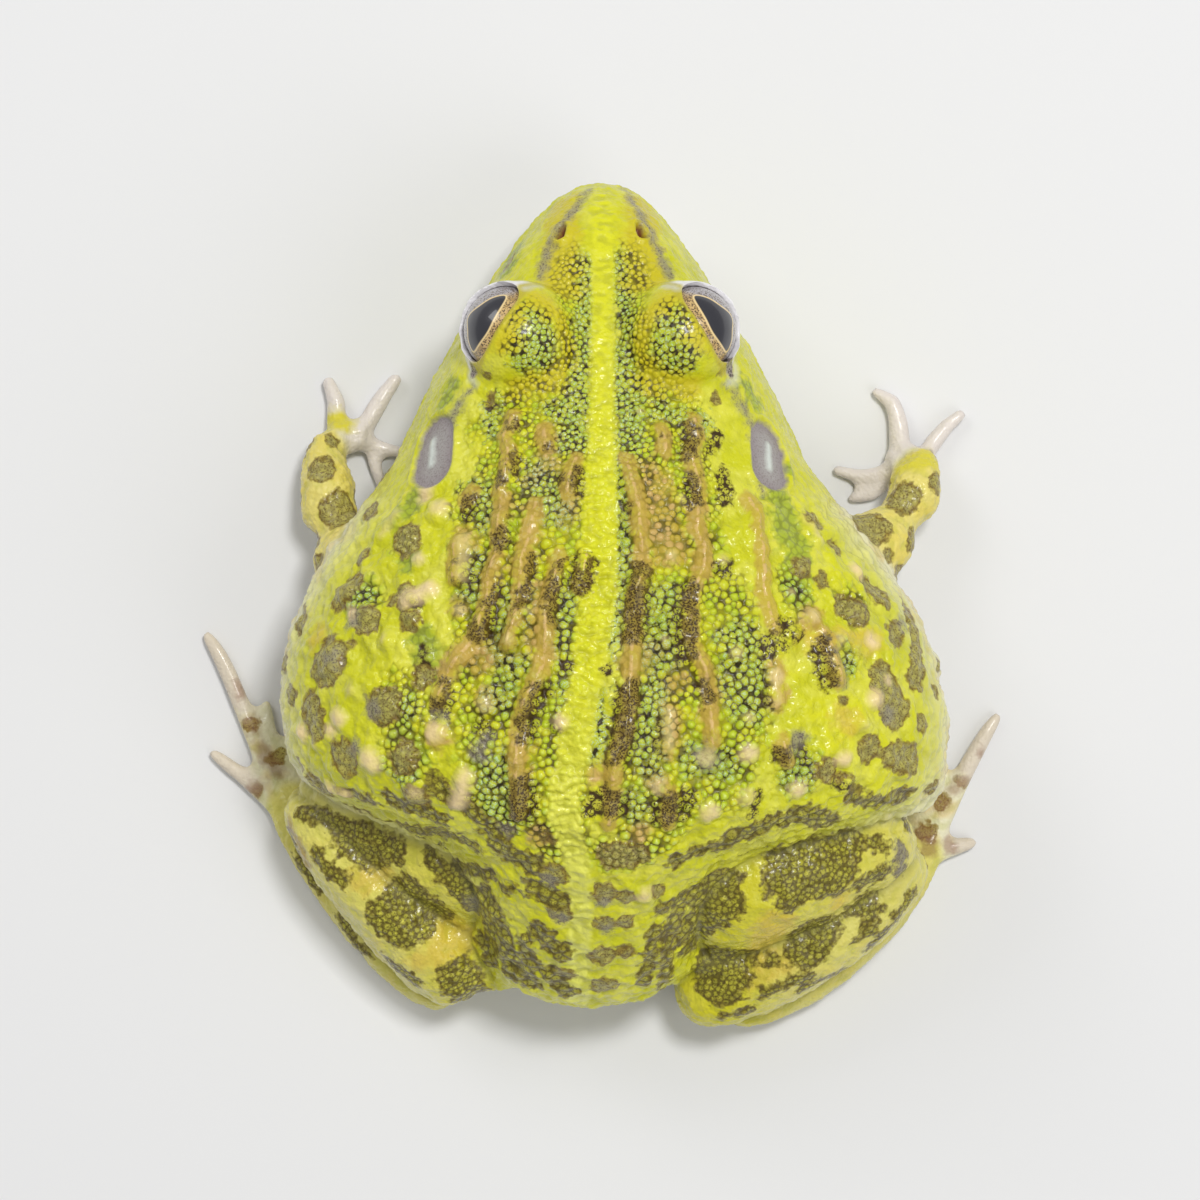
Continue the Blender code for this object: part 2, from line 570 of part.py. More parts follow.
def eardrum_place(side):
    """Where an eardrum lies, the way it faces and the way its long axis runs."""
    x, y = side * EARDRUM_PLACE[0], EARDRUM_PLACE[1]
    out = skin_normal(x, y)
    return Vector((x, y, back_height(x, y))), out, Vector((side * EARDRUM_LEAN, 1, 0))


def eardrum_rim(side):
    """The raised ring round an eardrum and the seat cut in it."""
    surface, out, along = eardrum_place(side)
    wide = [s + EARDRUM_RIM for s in EARDRUM_SIZE]
    rim = disc("eardrum_rim", surface, out, along, wide, EARDRUM_RIM_ROOT, -EARDRUM_RIM_SINK,
               crown=EARDRUM_RIM_CROWN)
    seat = disc("eardrum_seat", surface, out, along, EARDRUM_SIZE, EARDRUM_DEPTH, REACH_CLEAR)
    return rim, seat


def eardrum(side, name):
    """The thin oval drum that closes the ear, a little crowned."""
    surface, out, along = eardrum_place(side)
    size = [s - GAP for s in EARDRUM_SIZE]
    return disc(name, surface, out, along, size, EARDRUM_DEPTH - GAP, 0.0, EARDRUM_CROWN, look=EARDRUM)


def neck_cut():
    """A thin upright sheet behind the head."""
    low, high = -REACH_CLEAR, CUT_REACH
    corners = ((-CUT_REACH, low), (CUT_REACH, low), (CUT_REACH, high), (-CUT_REACH, high))
    rings = [[(x, y, z) for x, z in corners] for y in (NECK_Y - GAP / 2, NECK_Y + GAP / 2)]
    return skin_rings("neck_cut", rings)


def mouth_cut():
    """A thin sheet along the mouth that turns down behind its corner to the neck."""
    front = LIP_TIP_Y - REACH_CLEAR
    line = [(front, WIDEST(SECTION_Y[0])), (SECTION_Y[0], WIDEST(SECTION_Y[0]))]
    line += [(y, WIDEST(y)) for y in reversed(LIP_Y)] + [(MOUTH_CORNER_Y, WIDEST(MOUTH_CORNER_Y))]
    line += list(JAW_BACK)
    outline = [(y, z + GAP / 2) for y, z in line] + [(y, z - GAP / 2) for y, z in reversed(line)]
    rings = [[(x, y, z) for y, z in outline] for x in (-CUT_REACH, CUT_REACH)]
    return skin_rings("mouth_cut", rings)


def split_body(whole):
    """Part the cut body into torso, head and lower jaw, the three largest closed surfaces in it."""
    pieces = []
    for rank in range(3):
        piece = whole.copy()
        piece.data = whole.data.copy()
        bpy.context.scene.collection.objects.link(piece)
        keep_largest(piece, rank)
        pieces.append(piece)
    bpy.data.objects.remove(whole)
    torso = max(pieces, key=lambda piece: max(v.co.y for v in piece.data.vertices))
    pieces.remove(torso)
    jaw, head = sorted(pieces, key=lambda piece: max(v.co.z for v in piece.data.vertices))
    for piece, name in ((torso, "torso"), (head, "head"), (jaw, "lower_jaw")):
        piece.name = name
    return [torso, head, jaw]


def build():
    """Make every piece of the animal in an empty scene."""
    for thing in list(bpy.data.objects):
        bpy.data.objects.remove(thing)

    whole = body("body")
    raised = [lips()]
    for i, points in enumerate(FOLDS):
        raised.append(fold(f"fold_{i}", points))
    for i, (x, y, radius) in enumerate(WARTS):
        raised.append(wart(f"wart_{i}", x, y, radius))
    cuts = [neck_cut(), mouth_cut()]
    for side in (1, -1):
        raised += lid_parts(side)
        rim, pit = nostril(side)
        ear_rim, seat = eardrum_rim(side)
        raised += [rim, ear_rim]
        cuts += [pit, seat] + eye_cuts(side)
    combine(whole, raised, "UNION")
    combine(whole, cuts, "DIFFERENCE", tidy=False)
    made = split_body(whole)

    for side, label in ((1, "left"), (-1, "right")):
        made.append(ball(f"eye_{label}", mirrored(EYE_PLACE, side), (EYE_RADIUS,) * 3, look=EYE))
        made.append(eardrum(side, f"eardrum_{label}"))
        made += arm(label)
        made += leg(label)
    stand_centred(made)


def cut_clear(piece, others):
    """Cut a piece clear of what it grows from; others are grown copies."""
    combine(piece, others, "DIFFERENCE")
    return piece


def grown(points, sides=LIMB_SIDES, step=LIMB_STEP):
    """A limb's form with its surface moved out by the gap."""
    return limb("grown", points, sides, step, grow=GAP)


def arm(label):
    """Upper arm, forearm, hand and four fingers."""
    upper = cut_clear(limb(f"upper_arm_{label}", UPPER_ARMS[label]), [body("grown", GAP)])
    fore = cut_clear(limb(f"forearm_{label}", FOREARMS[label]),
                     [body("grown", GAP), grown(UPPER_ARMS[label])])
    hand = cut_clear(limb(f"hand_{label}", HANDS[label], FOOT_SIDES, HAND_STEP, look=DIGIT_SKIN),
                     [body("grown", GAP), grown(FOREARMS[label])])
    made = [upper, fore, hand]
    placed = []
    for i, points in enumerate(FINGERS[label]):
        finger = limb(f"finger_{i + 1}_{label}", points, DIGIT_SIDES, DIGIT_STEP, look=DIGIT_SKIN)
        others = [body("grown", GAP), grown(FOREARMS[label]), grown(HANDS[label], FOOT_SIDES, HAND_STEP)]
        others += [grown(other, DIGIT_SIDES, DIGIT_STEP) for other in placed]
        made.append(cut_clear(finger, others))
        placed.append(points)
    return made


def leg(label):
    """Thigh, shank, foot and five toes."""
    shank = cut_clear(limb(f"shank_{label}", SHANKS[label]), [body("grown", GAP)])
    thigh = cut_clear(limb(f"thigh_{label}", THIGHS[label]), [body("grown", GAP), grown(SHANKS[label])])
    foot = cut_clear(limb(f"foot_{label}", FEET[label], FOOT_SIDES),
                     [body("grown", GAP), grown(THIGHS[label]), grown(SHANKS[label])])
    made = [thigh, shank, foot]
    placed = []
    for i in (3, 4, 2, 1, 0):
        points = TOES[label][i]
        toe = limb(f"toe_{i + 1}_{label}", points, DIGIT_SIDES, DIGIT_STEP, look=DIGIT_SKIN)
        others = [body("grown", GAP), grown(THIGHS[label]), grown(SHANKS[label])]
        others.append(grown(FEET[label], FOOT_SIDES))
        others += [grown(other, DIGIT_SIDES, DIGIT_STEP) for other in placed]
        made.append(cut_clear(toe, others))
        placed.append(points)
    return made


def stand_centred(made):
    """Move the whole animal so that the middle of its box is over the origin, and shade it smooth."""
    corners = numpy.array([v.co[:] for piece in made for v in piece.data.vertices])
    middle = (corners.max(axis=0) + corners.min(axis=0)) / 2
    shift = Matrix.Translation((-middle[0], -middle[1], 0))
    for piece in made:
        piece.data.transform(shift)
        piece.data.shade_smooth()
        piece.data.set_sharp_from_angle(angle=SHARP_ANGLE)
        piece.data.name = piece.name
    count = sum(len(p.vertices) - 2 for piece in made for p in piece.data.polygons)
    print(f"moved by {-middle[0] / MM:.2f}, {-middle[1] / MM:.2f} mm")
    print(f"{len(made)} pieces, {count} triangles")


build()
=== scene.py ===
# %% [markdown]
# A young African bullfrog at rest, as a life-size museum model.
# On the real animal one moist skin covers everything but the eyes. It is granular on the back, where long
# folds run beside a yellow stripe, and smoother on the flanks and limbs.
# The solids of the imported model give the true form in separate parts. A museum would cast such a body in
# one mould and paint it, and the same is done here: the parts are fused into one skin, the fine relief is
# worked into it, and the markings are laid on where they lie on the animal.

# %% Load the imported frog
import math
import random

import bmesh
import bpy
import numpy
from mathutils import Matrix, Vector, noise
from mathutils.bvhtree import BVHTree
from mathutils.kdtree import KDTree


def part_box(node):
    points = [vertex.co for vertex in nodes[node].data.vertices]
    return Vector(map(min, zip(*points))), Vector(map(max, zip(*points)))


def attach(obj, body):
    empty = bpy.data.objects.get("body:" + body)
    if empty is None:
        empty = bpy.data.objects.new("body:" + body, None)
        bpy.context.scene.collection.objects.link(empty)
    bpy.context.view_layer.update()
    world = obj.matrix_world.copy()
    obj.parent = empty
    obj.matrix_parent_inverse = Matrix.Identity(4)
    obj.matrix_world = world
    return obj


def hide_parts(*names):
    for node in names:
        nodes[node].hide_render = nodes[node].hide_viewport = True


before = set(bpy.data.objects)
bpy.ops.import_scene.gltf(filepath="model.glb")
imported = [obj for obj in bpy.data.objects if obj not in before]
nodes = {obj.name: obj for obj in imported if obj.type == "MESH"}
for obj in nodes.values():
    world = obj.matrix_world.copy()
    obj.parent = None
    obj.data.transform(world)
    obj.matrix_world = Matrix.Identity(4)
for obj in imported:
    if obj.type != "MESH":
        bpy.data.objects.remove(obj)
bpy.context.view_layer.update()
MM = 0.001
print("parts:", len(nodes))

# %% [markdown]
# The animal was photographed from straight above, with a fairly long lens, so near parts look only a
# little larger than far ones. One pixel of the picture spans 0.124 mm at floor level.
# The solids were centred over the origin after they were shaped, so places that were measured on the
# animal are shifted with them. The left eye tells by how much.

# %% Where the photograph was taken from
PIXEL = 0.124  # mm on the floor
PHOTO_SIZE = 1200
PHOTO_HEIGHT = 650.0
PHOTO_BACK = -0.62
EYE_PLACE = Vector((10.9, -32.6, 27.4))  # as it was measured on the animal
EYE_RADIUS = 5.3

low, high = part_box("eye_left")
shift = (low + high) / 2 / MM - EYE_PLACE
camera_place = Vector((shift.x, shift.y + PHOTO_BACK, PHOTO_HEIGHT))

camera_data = bpy.data.cameras.new("camera")
camera_data.sensor_fit = "HORIZONTAL"
camera_data.angle = 2 * math.atan(PHOTO_SIZE / 2 * PIXEL / PHOTO_HEIGHT)
camera_data.clip_start = 0.01
camera = bpy.data.objects.new("camera", camera_data)
camera.location = camera_place * MM
camera.rotation_euler = (0, 0, math.pi)
bpy.context.scene.collection.objects.link(camera)
bpy.context.scene.camera = camera


def pixel_ray(x, y):
    """The direction in which the camera sees a pixel of the photograph."""
    on_floor = Vector((camera_place.x - (x - PHOTO_SIZE / 2) * PIXEL,
                       camera_place.y + (y - PHOTO_SIZE / 2) * PIXEL, 0))
    return (on_floor - camera_place).normalized()


def pixel_at(x, y, height):
    """The place in mm that a pixel of the photograph shows, where its height over the floor is known."""
    ray = pixel_ray(x, y)
    return camera_place + ray * ((height - camera_place.z) / ray.z)


print("camera over", [round(v, 2) for v in camera_place], "mm")

# %% [markdown]
# The studio is white all round, with soft light that leaves hardly a shadow. A softbox overhead models the
# small domes of the skin and gives the wet skin its gleams. Two wide lamps, an even pale sky and a large
# pale floor fill the sides.

# %% Floor and light
def linear(colour, alpha=1.0):
    """An sRGB hex colour as the linear numbers that Blender works in."""
    channels = [int(colour[i:i + 2], 16) / 255 for i in (1, 3, 5)]
    return tuple(c / 12.92 if c <= 0.04045 else ((c + 0.055) / 1.055) ** 2.4 for c in channels) + (alpha,)


def connect(tree, node, inputs):
    """Set the inputs of a node or link them to other nodes. A key names a socket, or numbers it."""
    for key, value in inputs.items():
        socket = node.inputs[key] if isinstance(key, int) else next(
            s for s in node.inputs if s.enabled and s.name == key)
        if isinstance(value, bpy.types.Node):
            value = next(s for s in value.outputs if s.enabled)
        if isinstance(value, bpy.types.NodeSocket):
            tree.links.new(value, socket)
        else:
            socket.default_value = value


def add(tree, kind, inputs, **settings):
    """Add a node with its settings and inputs."""
    made = tree.nodes.new(kind)
    for name, value in settings.items():
        setattr(made, name, value)
    connect(tree, made, inputs)
    return made


def new_material(name):
    """A material, its node tree, and the Principled shader in it."""
    made = bpy.data.materials.new(name)
    made.use_nodes = True
    return made, made.node_tree, made.node_tree.nodes["Principled BSDF"]


paper, paper_tree, paper_shader = new_material("white_studio_paper")
connect(paper_tree, paper_shader, {"Base Color": linear("#E2E2E2"), "Roughness": 0.9})
FLOOR_HALF = 3.0
floor_mesh = bpy.data.meshes.new("floor")
floor_corners = [(x * FLOOR_HALF, y * FLOOR_HALF, 0) for x, y in ((-1, -1), (1, -1), (1, 1), (-1, 1))]
floor_mesh.from_pydata(floor_corners, [], [(0, 1, 2, 3)])
floor_mesh.materials.append(paper)
floor = bpy.data.objects.new("floor", floor_mesh)
bpy.context.scene.collection.objects.link(floor)

world = bpy.data.worlds.new("studio")
world.use_nodes = True
world.node_tree.nodes["Background"].inputs["Color"].default_value = (1, 1, 1, 1)
world.node_tree.nodes["Background"].inputs["Strength"].default_value = 0.38
bpy.context.scene.world = world

# The place of each lamp in metres, its width, and its power in watts.
LAMPS = {
    "softbox_overhead": ((-0.22, -0.3, 1.0), 0.2, 6.1),
    "wide_front_left": ((0.5, -0.55, 0.62), 0.4, 1.6),
    "wide_back_right": ((-0.55, 0.4, 0.7), 0.6, 1.7),
}
for name, (place, size, power) in LAMPS.items():
    light = bpy.data.lights.new(name, "AREA")
    light.size = size
    light.energy = power
    lamp = bpy.data.objects.new(name, light)
    lamp.location = place
    lamp.rotation_euler = Vector(place).to_track_quat("Z", "Y").to_euler()
    bpy.context.scene.collection.objects.link(lamp)
bpy.context.scene.view_settings.view_transform = "Standard"
print("lamps:", list(LAMPS))

# %% [markdown]
# A frog's eyelid ends in a smooth rounded margin that lies close on the eyeball. The slit between the lids
# is a slanting oval, and the upper lid hangs over the upper part of it. The lid is built of thin rings
# along such ovals, and they are fused into the skin with the solids, as a sculptor lays rolls of clay round
# a glass eye.

# %% The margins of the eyelids
SLIT = (5.25, 4.1)  # half its length and half its height
SLIT_TILT = math.radians(10)
LID_EDGES = (3.4, 3.75, 4.1)  # the upper lid reaches down from the widest oval to the first of these
GAZE_FORWARD, GAZE_UP = math.radians(25), math.radians(41)
LID_HANG = 3.0  # where the edge of the upper lid shows, as half an oval
MARGIN_RADIUS = 0.38
MARGIN_FLOAT = 0.18  # how far the middle of the ring lies off the eyeball
MARGIN_STEPS, MARGIN_SIDES = 72, 10


def eye_centre(side):
    """The middle of an eye in millimetres, 1 for the left eye and -1 for the right."""
    return Vector((EYE_PLACE.x * side, EYE_PLACE.y, EYE_PLACE.z)) + shift


def slit_axes(side):
    """The way an eye looks, and the long and the short direction of the slit between its lids."""
    level = math.cos(GAZE_UP)
    ahead = -level * math.sin(GAZE_FORWARD)
    out = Vector((side * level * math.cos(GAZE_FORWARD), ahead, math.sin(GAZE_UP)))
    forward = Vector((-side * abs(out.y), -abs(out.x), 0)).normalized()
    up = forward.cross(out) if side > 0 else out.cross(forward)
    along = forward * math.cos(SLIT_TILT) + up * math.sin(SLIT_TILT)
    across = up * math.cos(SLIT_TILT) - forward * math.sin(SLIT_TILT)
    return out, along, across


def lid_margin(side, upper):
    """One ring of a lid as rows of points, with the height of its upper half."""
    out, along, across = slit_axes(side)
    centre = eye_centre(side)
    rows = []
    for step in range(MARGIN_STEPS):
        turn = 2 * math.pi * step / MARGIN_STEPS
        tall = upper if math.sin(turn) > 0 else SLIT[1]
        flat = along * SLIT[0] * math.cos(turn) + across * tall * math.sin(turn)
        rise = math.sqrt(max(EYE_RADIUS ** 2 - flat.length_squared, 0))
        away = (flat + out * rise).normalized()
        ahead = (across * tall * math.cos(turn) - along * SLIT[0] * math.sin(turn)).normalized()
        ahead = (ahead - away * ahead.dot(away)).normalized()
        beside = away.cross(ahead)
        middle = centre + away * (EYE_RADIUS + MARGIN_FLOAT)
        rows.append([middle + (away * math.cos(k) + beside * math.sin(k)) * MARGIN_RADIUS
                     for k in (2 * math.pi * j / MARGIN_SIDES for j in range(MARGIN_SIDES))])
    return rows


margins = [lid_margin(side, upper) for side in (1, -1) for upper in LID_EDGES]
print("lid margins:", MARGIN_STEPS, "steps round each eye")

# %% [markdown]
# The skin is one closed surface over all the flesh. The parts lie 0.3 mm apart, so each is swelled a
# little until they merge, and a voxel remesh turns them into one even mesh, which then shrinks back.
# Sculptors join blocked-out clay in the same way before they smooth it. Balls of clay fill the deep pockets
# behind the knees, where the soft flesh of thigh and shank meets.

# %% Fuse the parts into one skin
EYES = ("eye_left", "eye_right")
# The deep pockets behind the knees: pixel x and y, then the height and the radius of a ball in mm.
POCKETS = [(702, 952, 12.5, 2.6), (714, 953, 13.0, 2.5), (727, 955, 13.4, 2.3),
           (471, 934, 13.4, 2.2), (484, 953, 12.2, 2.2), (494, 973, 10.8, 2.4)]
WELD = 0.001
SWELL = 0.3
VOXEL = 0.36

flesh = {name: node for name, node in sorted(nodes.items()) if name not in EYES}
shape = bmesh.new()
for node in flesh.values():
    shape.from_mesh(node.data)
bmesh.ops.remove_doubles(shape, verts=shape.verts, dist=WELD * MM)
for rows in margins:
    ring = [[shape.verts.new(p * MM) for p in row] for row in rows]
    for row, after in zip(ring, ring[1:] + ring[:1]):
        for j in range(MARGIN_SIDES):
            k = (j + 1) % MARGIN_SIDES
            shape.faces.new((row[j], after[j], after[k], row[k]))
for x, y, height, radius in POCKETS:
    where = Matrix.Translation(pixel_at(x, y, height) * MM)
    bmesh.ops.create_icosphere(shape, subdivisions=3, radius=radius * MM, matrix=where)
bmesh.ops.recalc_face_normals(shape, faces=shape.faces)
clay = bpy.data.meshes.new("skin")
shape.to_mesh(clay)
shape.free()


def points_of(mesh):
    """The corners of a mesh in millimetres."""
    flat = numpy.empty(len(mesh.vertices) * 3)
    mesh.vertices.foreach_get("co", flat)
    return flat.reshape(-1, 3) / MM


def normals_of(mesh):
    """The direction out of the surface at each corner."""
    flat = numpy.empty(len(mesh.vertices) * 3)
    mesh.vertices.foreach_get("normal", flat)
    return flat.reshape(-1, 3)


def place_points(mesh, points):
    """Move the corners of a mesh to these places in millimetres."""
    mesh.vertices.foreach_set("co", (points * MM).ravel())
    mesh.update()


place_points(clay, points_of(clay) + normals_of(clay) * SWELL)
skin = bpy.data.objects.new("skin", clay)
bpy.context.scene.collection.objects.link(skin)
remesh = skin.modifiers.new("remesh", "REMESH")
remesh.mode = "VOXEL"
remesh.voxel_size = VOXEL * MM
bpy.context.view_layer.update()
fused = bpy.data.meshes.new_from_object(skin.evaluated_get(bpy.context.evaluated_depsgraph_get()))
skin.modifiers.clear()
skin.data = fused
place_points(fused, points_of(fused) - normals_of(fused) * SWELL)
print("skin:", len(fused.vertices), "corners,", len(fused.polygons), "faces")

# %% [markdown]
# Each part of the skin is treated in its own way, so every corner is told which solid it came from. The
# borders are then blurred by averaging each corner with its neighbours along the mesh.

# %% Which part of the animal each corner belongs to
def edges_of(mesh):
    """The two corners of each edge."""
    flat = numpy.empty(len(mesh.edges) * 2, int)
    mesh.edges.foreach_get("vertices", flat)
    return flat.reshape(-1, 2)


EDGES = edges_of(fused)
COUNT = len(fused.vertices)


def neighbour_mean(values):
    """The mean of a value over the neighbours of each corner."""
    total = numpy.bincount(EDGES[:, 0], weights=values[EDGES[:, 1]], minlength=COUNT)
    total += numpy.bincount(EDGES[:, 1], weights=values[EDGES[:, 0]], minlength=COUNT)
    return total / numpy.maximum(numpy.bincount(EDGES.ravel(), minlength=COUNT), 1)


def blurred(values, rounds):
    """A value that is spread over the skin by so many rounds of averaging."""
    for _ in range(rounds):
        values = (values + neighbour_mean(values)) / 2
    return values


def ramp(values, start, end):
    """0 below start, 1 above end, and smooth between them. With end below start it falls."""
    t = numpy.clip((values - start) / (end - start), 0, 1)
    return t * t * (3 - 2 * t)


corners, triangles, owners = [], [], []
names = list(flesh)
for i, node in enumerate(flesh.values()):
    start = len(corners)
    corners += [tuple(v.co / MM) for v in node.data.vertices]
    for polygon in node.data.polygons:
        triangles.append([start + k for k in polygon.vertices])
        owners.append(i)
solids = BVHTree.FromPolygons(corners, triangles)
nearest = numpy.array([owners[solids.find_nearest(p)[2]] for p in points_of(fused)])


def belongs(*starts):
    """1 on the skin of the parts whose names start so, and 0 elsewhere."""
    chosen = [i for i, name in enumerate(names) if name.startswith(starts)]
    return numpy.isin(nearest, chosen).astype(float)


PART_BLUR, HEAD_BLUR = 12, 60  # rounds
PARTS = {
    "digits": ("finger", "toe"), "hands": ("hand", "finger"), "feet": ("foot", "toe"),
    "limbs": ("upper", "fore", "hand", "finger", "thigh", "shank", "foot", "toe"),
    "legs": ("thigh", "shank", "foot"), "arms": ("upper", "fore"), "head": ("head", "lower", "eardrum"),
}
on_part = {name: blurred(belongs(*starts), HEAD_BLUR if name == "head" else PART_BLUR)
           for name, starts in PARTS.items()}
print("corners on the digits:", int((on_part["digits"] > 0.5).sum()))

# %% [markdown]
# Where a folded leg lies against the body, or the shank against the thigh, the skin turns in to a sharp
# crease. The creases are the borders between these parts, found from the edges that join them.

# %% The creases of the folded legs
LEG_PARTS = (("thigh",), ("shank",), ("foot", "toe"))
CREASE_ROUNDS, CREASE_GAIN = 10, 2.2

group = numpy.zeros(COUNT, int)
for i, starts in enumerate(LEG_PARTS, 1):
    group[belongs(*starts) > 0.5] = i
border = numpy.zeros(COUNT)
crossing = EDGES[group[EDGES[:, 0]] != group[EDGES[:, 1]]]
border[crossing.ravel()] = 1.0
on_part["creases"] = numpy.clip(blurred(border, CREASE_ROUNDS) * CREASE_GAIN, 0, 1)
print("corners on creases:", int((on_part["creases"] > 0.5).sum()))

# %% [markdown]
# The solids are faceted, and living skin isn't. Averaging the corners melts the facets away. It would
# also melt fingers, eyelids and creases, so those are spared most of it. The right flank
# bulges over the heel in the photograph, more than the solid does, so it is pushed out a little there.

# %% Smooth the skin
LID_RADIUS = 6.15
ROUNDS = 150
# The share of the smoothing that each area is spared. The ends are the hands and the feet.
SPARED = {"head": 0.55, "limbs": 0.55, "ends": 0.8, "creases": 0.85, "near_lids": 0.9}
points = points_of(fused)

eye_offsets = {side: points - numpy.array(eye_centre(side)) for side in (1, -1)}
eye_distance = numpy.minimum(*(numpy.linalg.norm(offset, axis=1) for offset in eye_offsets.values()))
on_part["near_lids"] = ramp(eye_distance, LID_RADIUS + 2.4, LID_RADIUS + 0.4)
on_part["ends"] = numpy.maximum(on_part["hands"], on_part["feet"] * 0.85)
softness = 1.0
for name, share in SPARED.items():
    softness = softness * (1 - share * on_part[name])


def smoothed(points, softness, rounds):
    """Places that are drawn towards the mean of their neighbours, round after round."""
    points = points.copy()
    for _ in range(rounds):
        for axis in range(3):
            values = points[:, axis]
            points[:, axis] = values + 0.5 * softness * (neighbour_mean(values) - values)
    return points


BULGE_PUSH = 2.6
BULGE_PLACE = (24.0, 12.0)  # along the body, and over the floor
BULGE_REACH = (4.5, 8.0)
BULGE_BLUR = 8
points = smoothed(points, softness, ROUNDS)
along_body = (points[:, 1] - BULGE_PLACE[0] - shift.y) / BULGE_REACH[0]
in_height = (points[:, 2] - BULGE_PLACE[1]) / BULGE_REACH[1]
bulge = BULGE_PUSH * numpy.exp(-along_body ** 2 - in_height ** 2) * blurred(belongs("torso"), BULGE_BLUR)
points[:, 0] -= bulge * ramp(points[:, 0], -25.0, -33.0) * ramp(points[:, 2], 3.0, 7.0)
place_points(fused, points)
print("smoothed over", ROUNDS, "rounds")

# %% [markdown]
# Folds, warts and spots lie where the photograph shows them. Each is written as a short line of pixels
# with a half width in millimetres, and a ray from the camera through each pixel finds its place on the
# skin. From there on everything is measured along the body in millimetres, so a mark keeps its shape
# when the model is seen from the side.

# %% Lay lines of the photograph on the skin
PIXELS_A_STEP = 14
FAR = 4.0  # mm beyond which a line has no effect

bpy.context.view_layer.update()
surface = BVHTree.FromObject(skin, bpy.context.evaluated_depsgraph_get())


def under_pixel(x, y):
    """The place on the skin that a pixel of the photograph shows, or None."""
    hit = surface.ray_cast(camera_place * MM, pixel_ray(x, y))[0]
    return None if hit is None else numpy.array(hit) / MM


def laid(line):
    """A line of (pixel x, pixel y, half width in mm) as close-set places on the skin with their widths."""
    row = []
    for (x0, y0, r0), (x1, y1, r1) in zip(line, line[1:] or line):
        steps = max(1, round(math.hypot(x1 - x0, y1 - y0) / PIXELS_A_STEP))
        for i in range(steps + 1):
            t = i / steps
            place = under_pixel(x0 + (x1 - x0) * t, y0 + (y1 - y0) * t)
            if place is not None:
                row.append((place, r0 + (r1 - r0) * t))
    return row


def depth_in(rows):
    """How deep each corner lies inside the nearest of the laid rows, in mm, negative outside them."""
    depth = numpy.full(COUNT, -FAR)
    order = numpy.argsort(points[:, 1])
    sorted_y = points[order, 1]
    for row in rows:
        for (a, ra), (b, rb) in zip(row, row[1:] or row):
            reach = max(ra, rb) + FAR
            first, last = numpy.searchsorted(sorted_y, (min(a[1], b[1]) - reach, max(a[1], b[1]) + reach))
            near = order[first:last]
            near = near[(numpy.abs(points[near] - (a + b) / 2) < reach + numpy.abs(b - a) / 2).all(axis=1)]
            along = b - a
            length = max(along @ along, 1e-9)
            t = numpy.clip((points[near] - a) @ along / length, 0, 1)
            gap = numpy.linalg.norm(points[near] - a - t[:, None] * along, axis=1)
            depth[near] = numpy.maximum(depth[near], ra + (rb - ra) * t - gap)
    return depth


def depth_under(lines, half_width=None):
    """The depth inside lines of the photograph. With half_width, the lines give pixels only."""
    if half_width is not None:
        lines = [[(x, y, half_width) for x, y in line] for line in lines]
    return depth_in([laid(line) for line in lines])


print("ray through the middle of the picture meets the back at", under_pixel(600, 600).round(1))

# %% [markdown]
# The skin is granular: small round domes about a millimetre apart, like beads, high on the back and low
# elsewhere. They need a finer mesh, so the faces are divided once more, but for the digits and the belly.

# %% A finer mesh for the beads
STRIPE = [
    [(601, 184, 1.2), (603, 250, 1.3), (603, 330, 1.3), (602, 400, 1.5), (601, 450, 1.7), (599, 520, 2.1),
     (597, 600, 2.2), (586, 680, 1.9), (577, 727, 2.0), (571, 763, 1.8), (564, 790, 1.8), (563, 816, 1.8),
     (571, 843, 1.5), (580, 880, 1.3), (580, 940, 1.4), (577, 1003, 1.5)],
]
GRANULAR = [
    [(530, 420, 5.0), (520, 500, 6.0), (510, 600, 6.5), (500, 700, 6.0), (510, 800, 5.0)],
    [(570, 420, 4.0), (570, 600, 5.0), (545, 700, 4.5), (560, 840, 3.5)],
    [(660, 420, 5.0), (672, 520, 6.0), (672, 640, 6.0), (668, 760, 6.0), (650, 830, 4.0)],
    [(722, 600, 3.5), (736, 700, 4.5), (720, 780, 4.0)], [(400, 700, 3.5), (404, 760, 3.0)],
    [(792, 580, 2.0), (800, 600, 2.2)], [(852, 606, 2.4)], [(846, 660, 1.8)], [(800, 770, 3.0)],
    [(364, 600, 2.4)], [(404, 540, 1.6)], [(479, 430, 1.4)], [(468, 500, 1.8), (470, 580, 2.2)],
    [(572, 260, 2.0), (575, 420, 2.6)], [(632, 260, 2.0), (634, 420, 2.6)],
    [(532, 322, 3.0), (535, 352, 3.4)], [(674, 322, 3.0), (674, 352, 3.4)],
    [(610, 855, 2.2), (634, 855, 2.0)],
]
FINE_TURN = -0.3
FINE_LOW = 2.0
FINE_ROUNDS = 6

coarse = points
coarse_granular = depth_under(GRANULAR)
fine = (normals_of(fused)[:, 2] > FINE_TURN) & (points[:, 2] > FINE_LOW)
fine &= (on_part["hands"] < 0.5) & (on_part["digits"] < 0.5)
for name, values in on_part.items():
    fused.attributes.new(name, "FLOAT", "POINT").data.foreach_set("value", values.astype(numpy.float32))
shape = bmesh.new()
shape.from_mesh(fused)
chosen = [edge for edge in shape.edges if fine[edge.verts[0].index] and fine[edge.verts[1].index]]
bmesh.ops.subdivide_edges(shape, edges=chosen, cuts=1, use_grid_fill=True)
shape.to_mesh(fused)
shape.free()

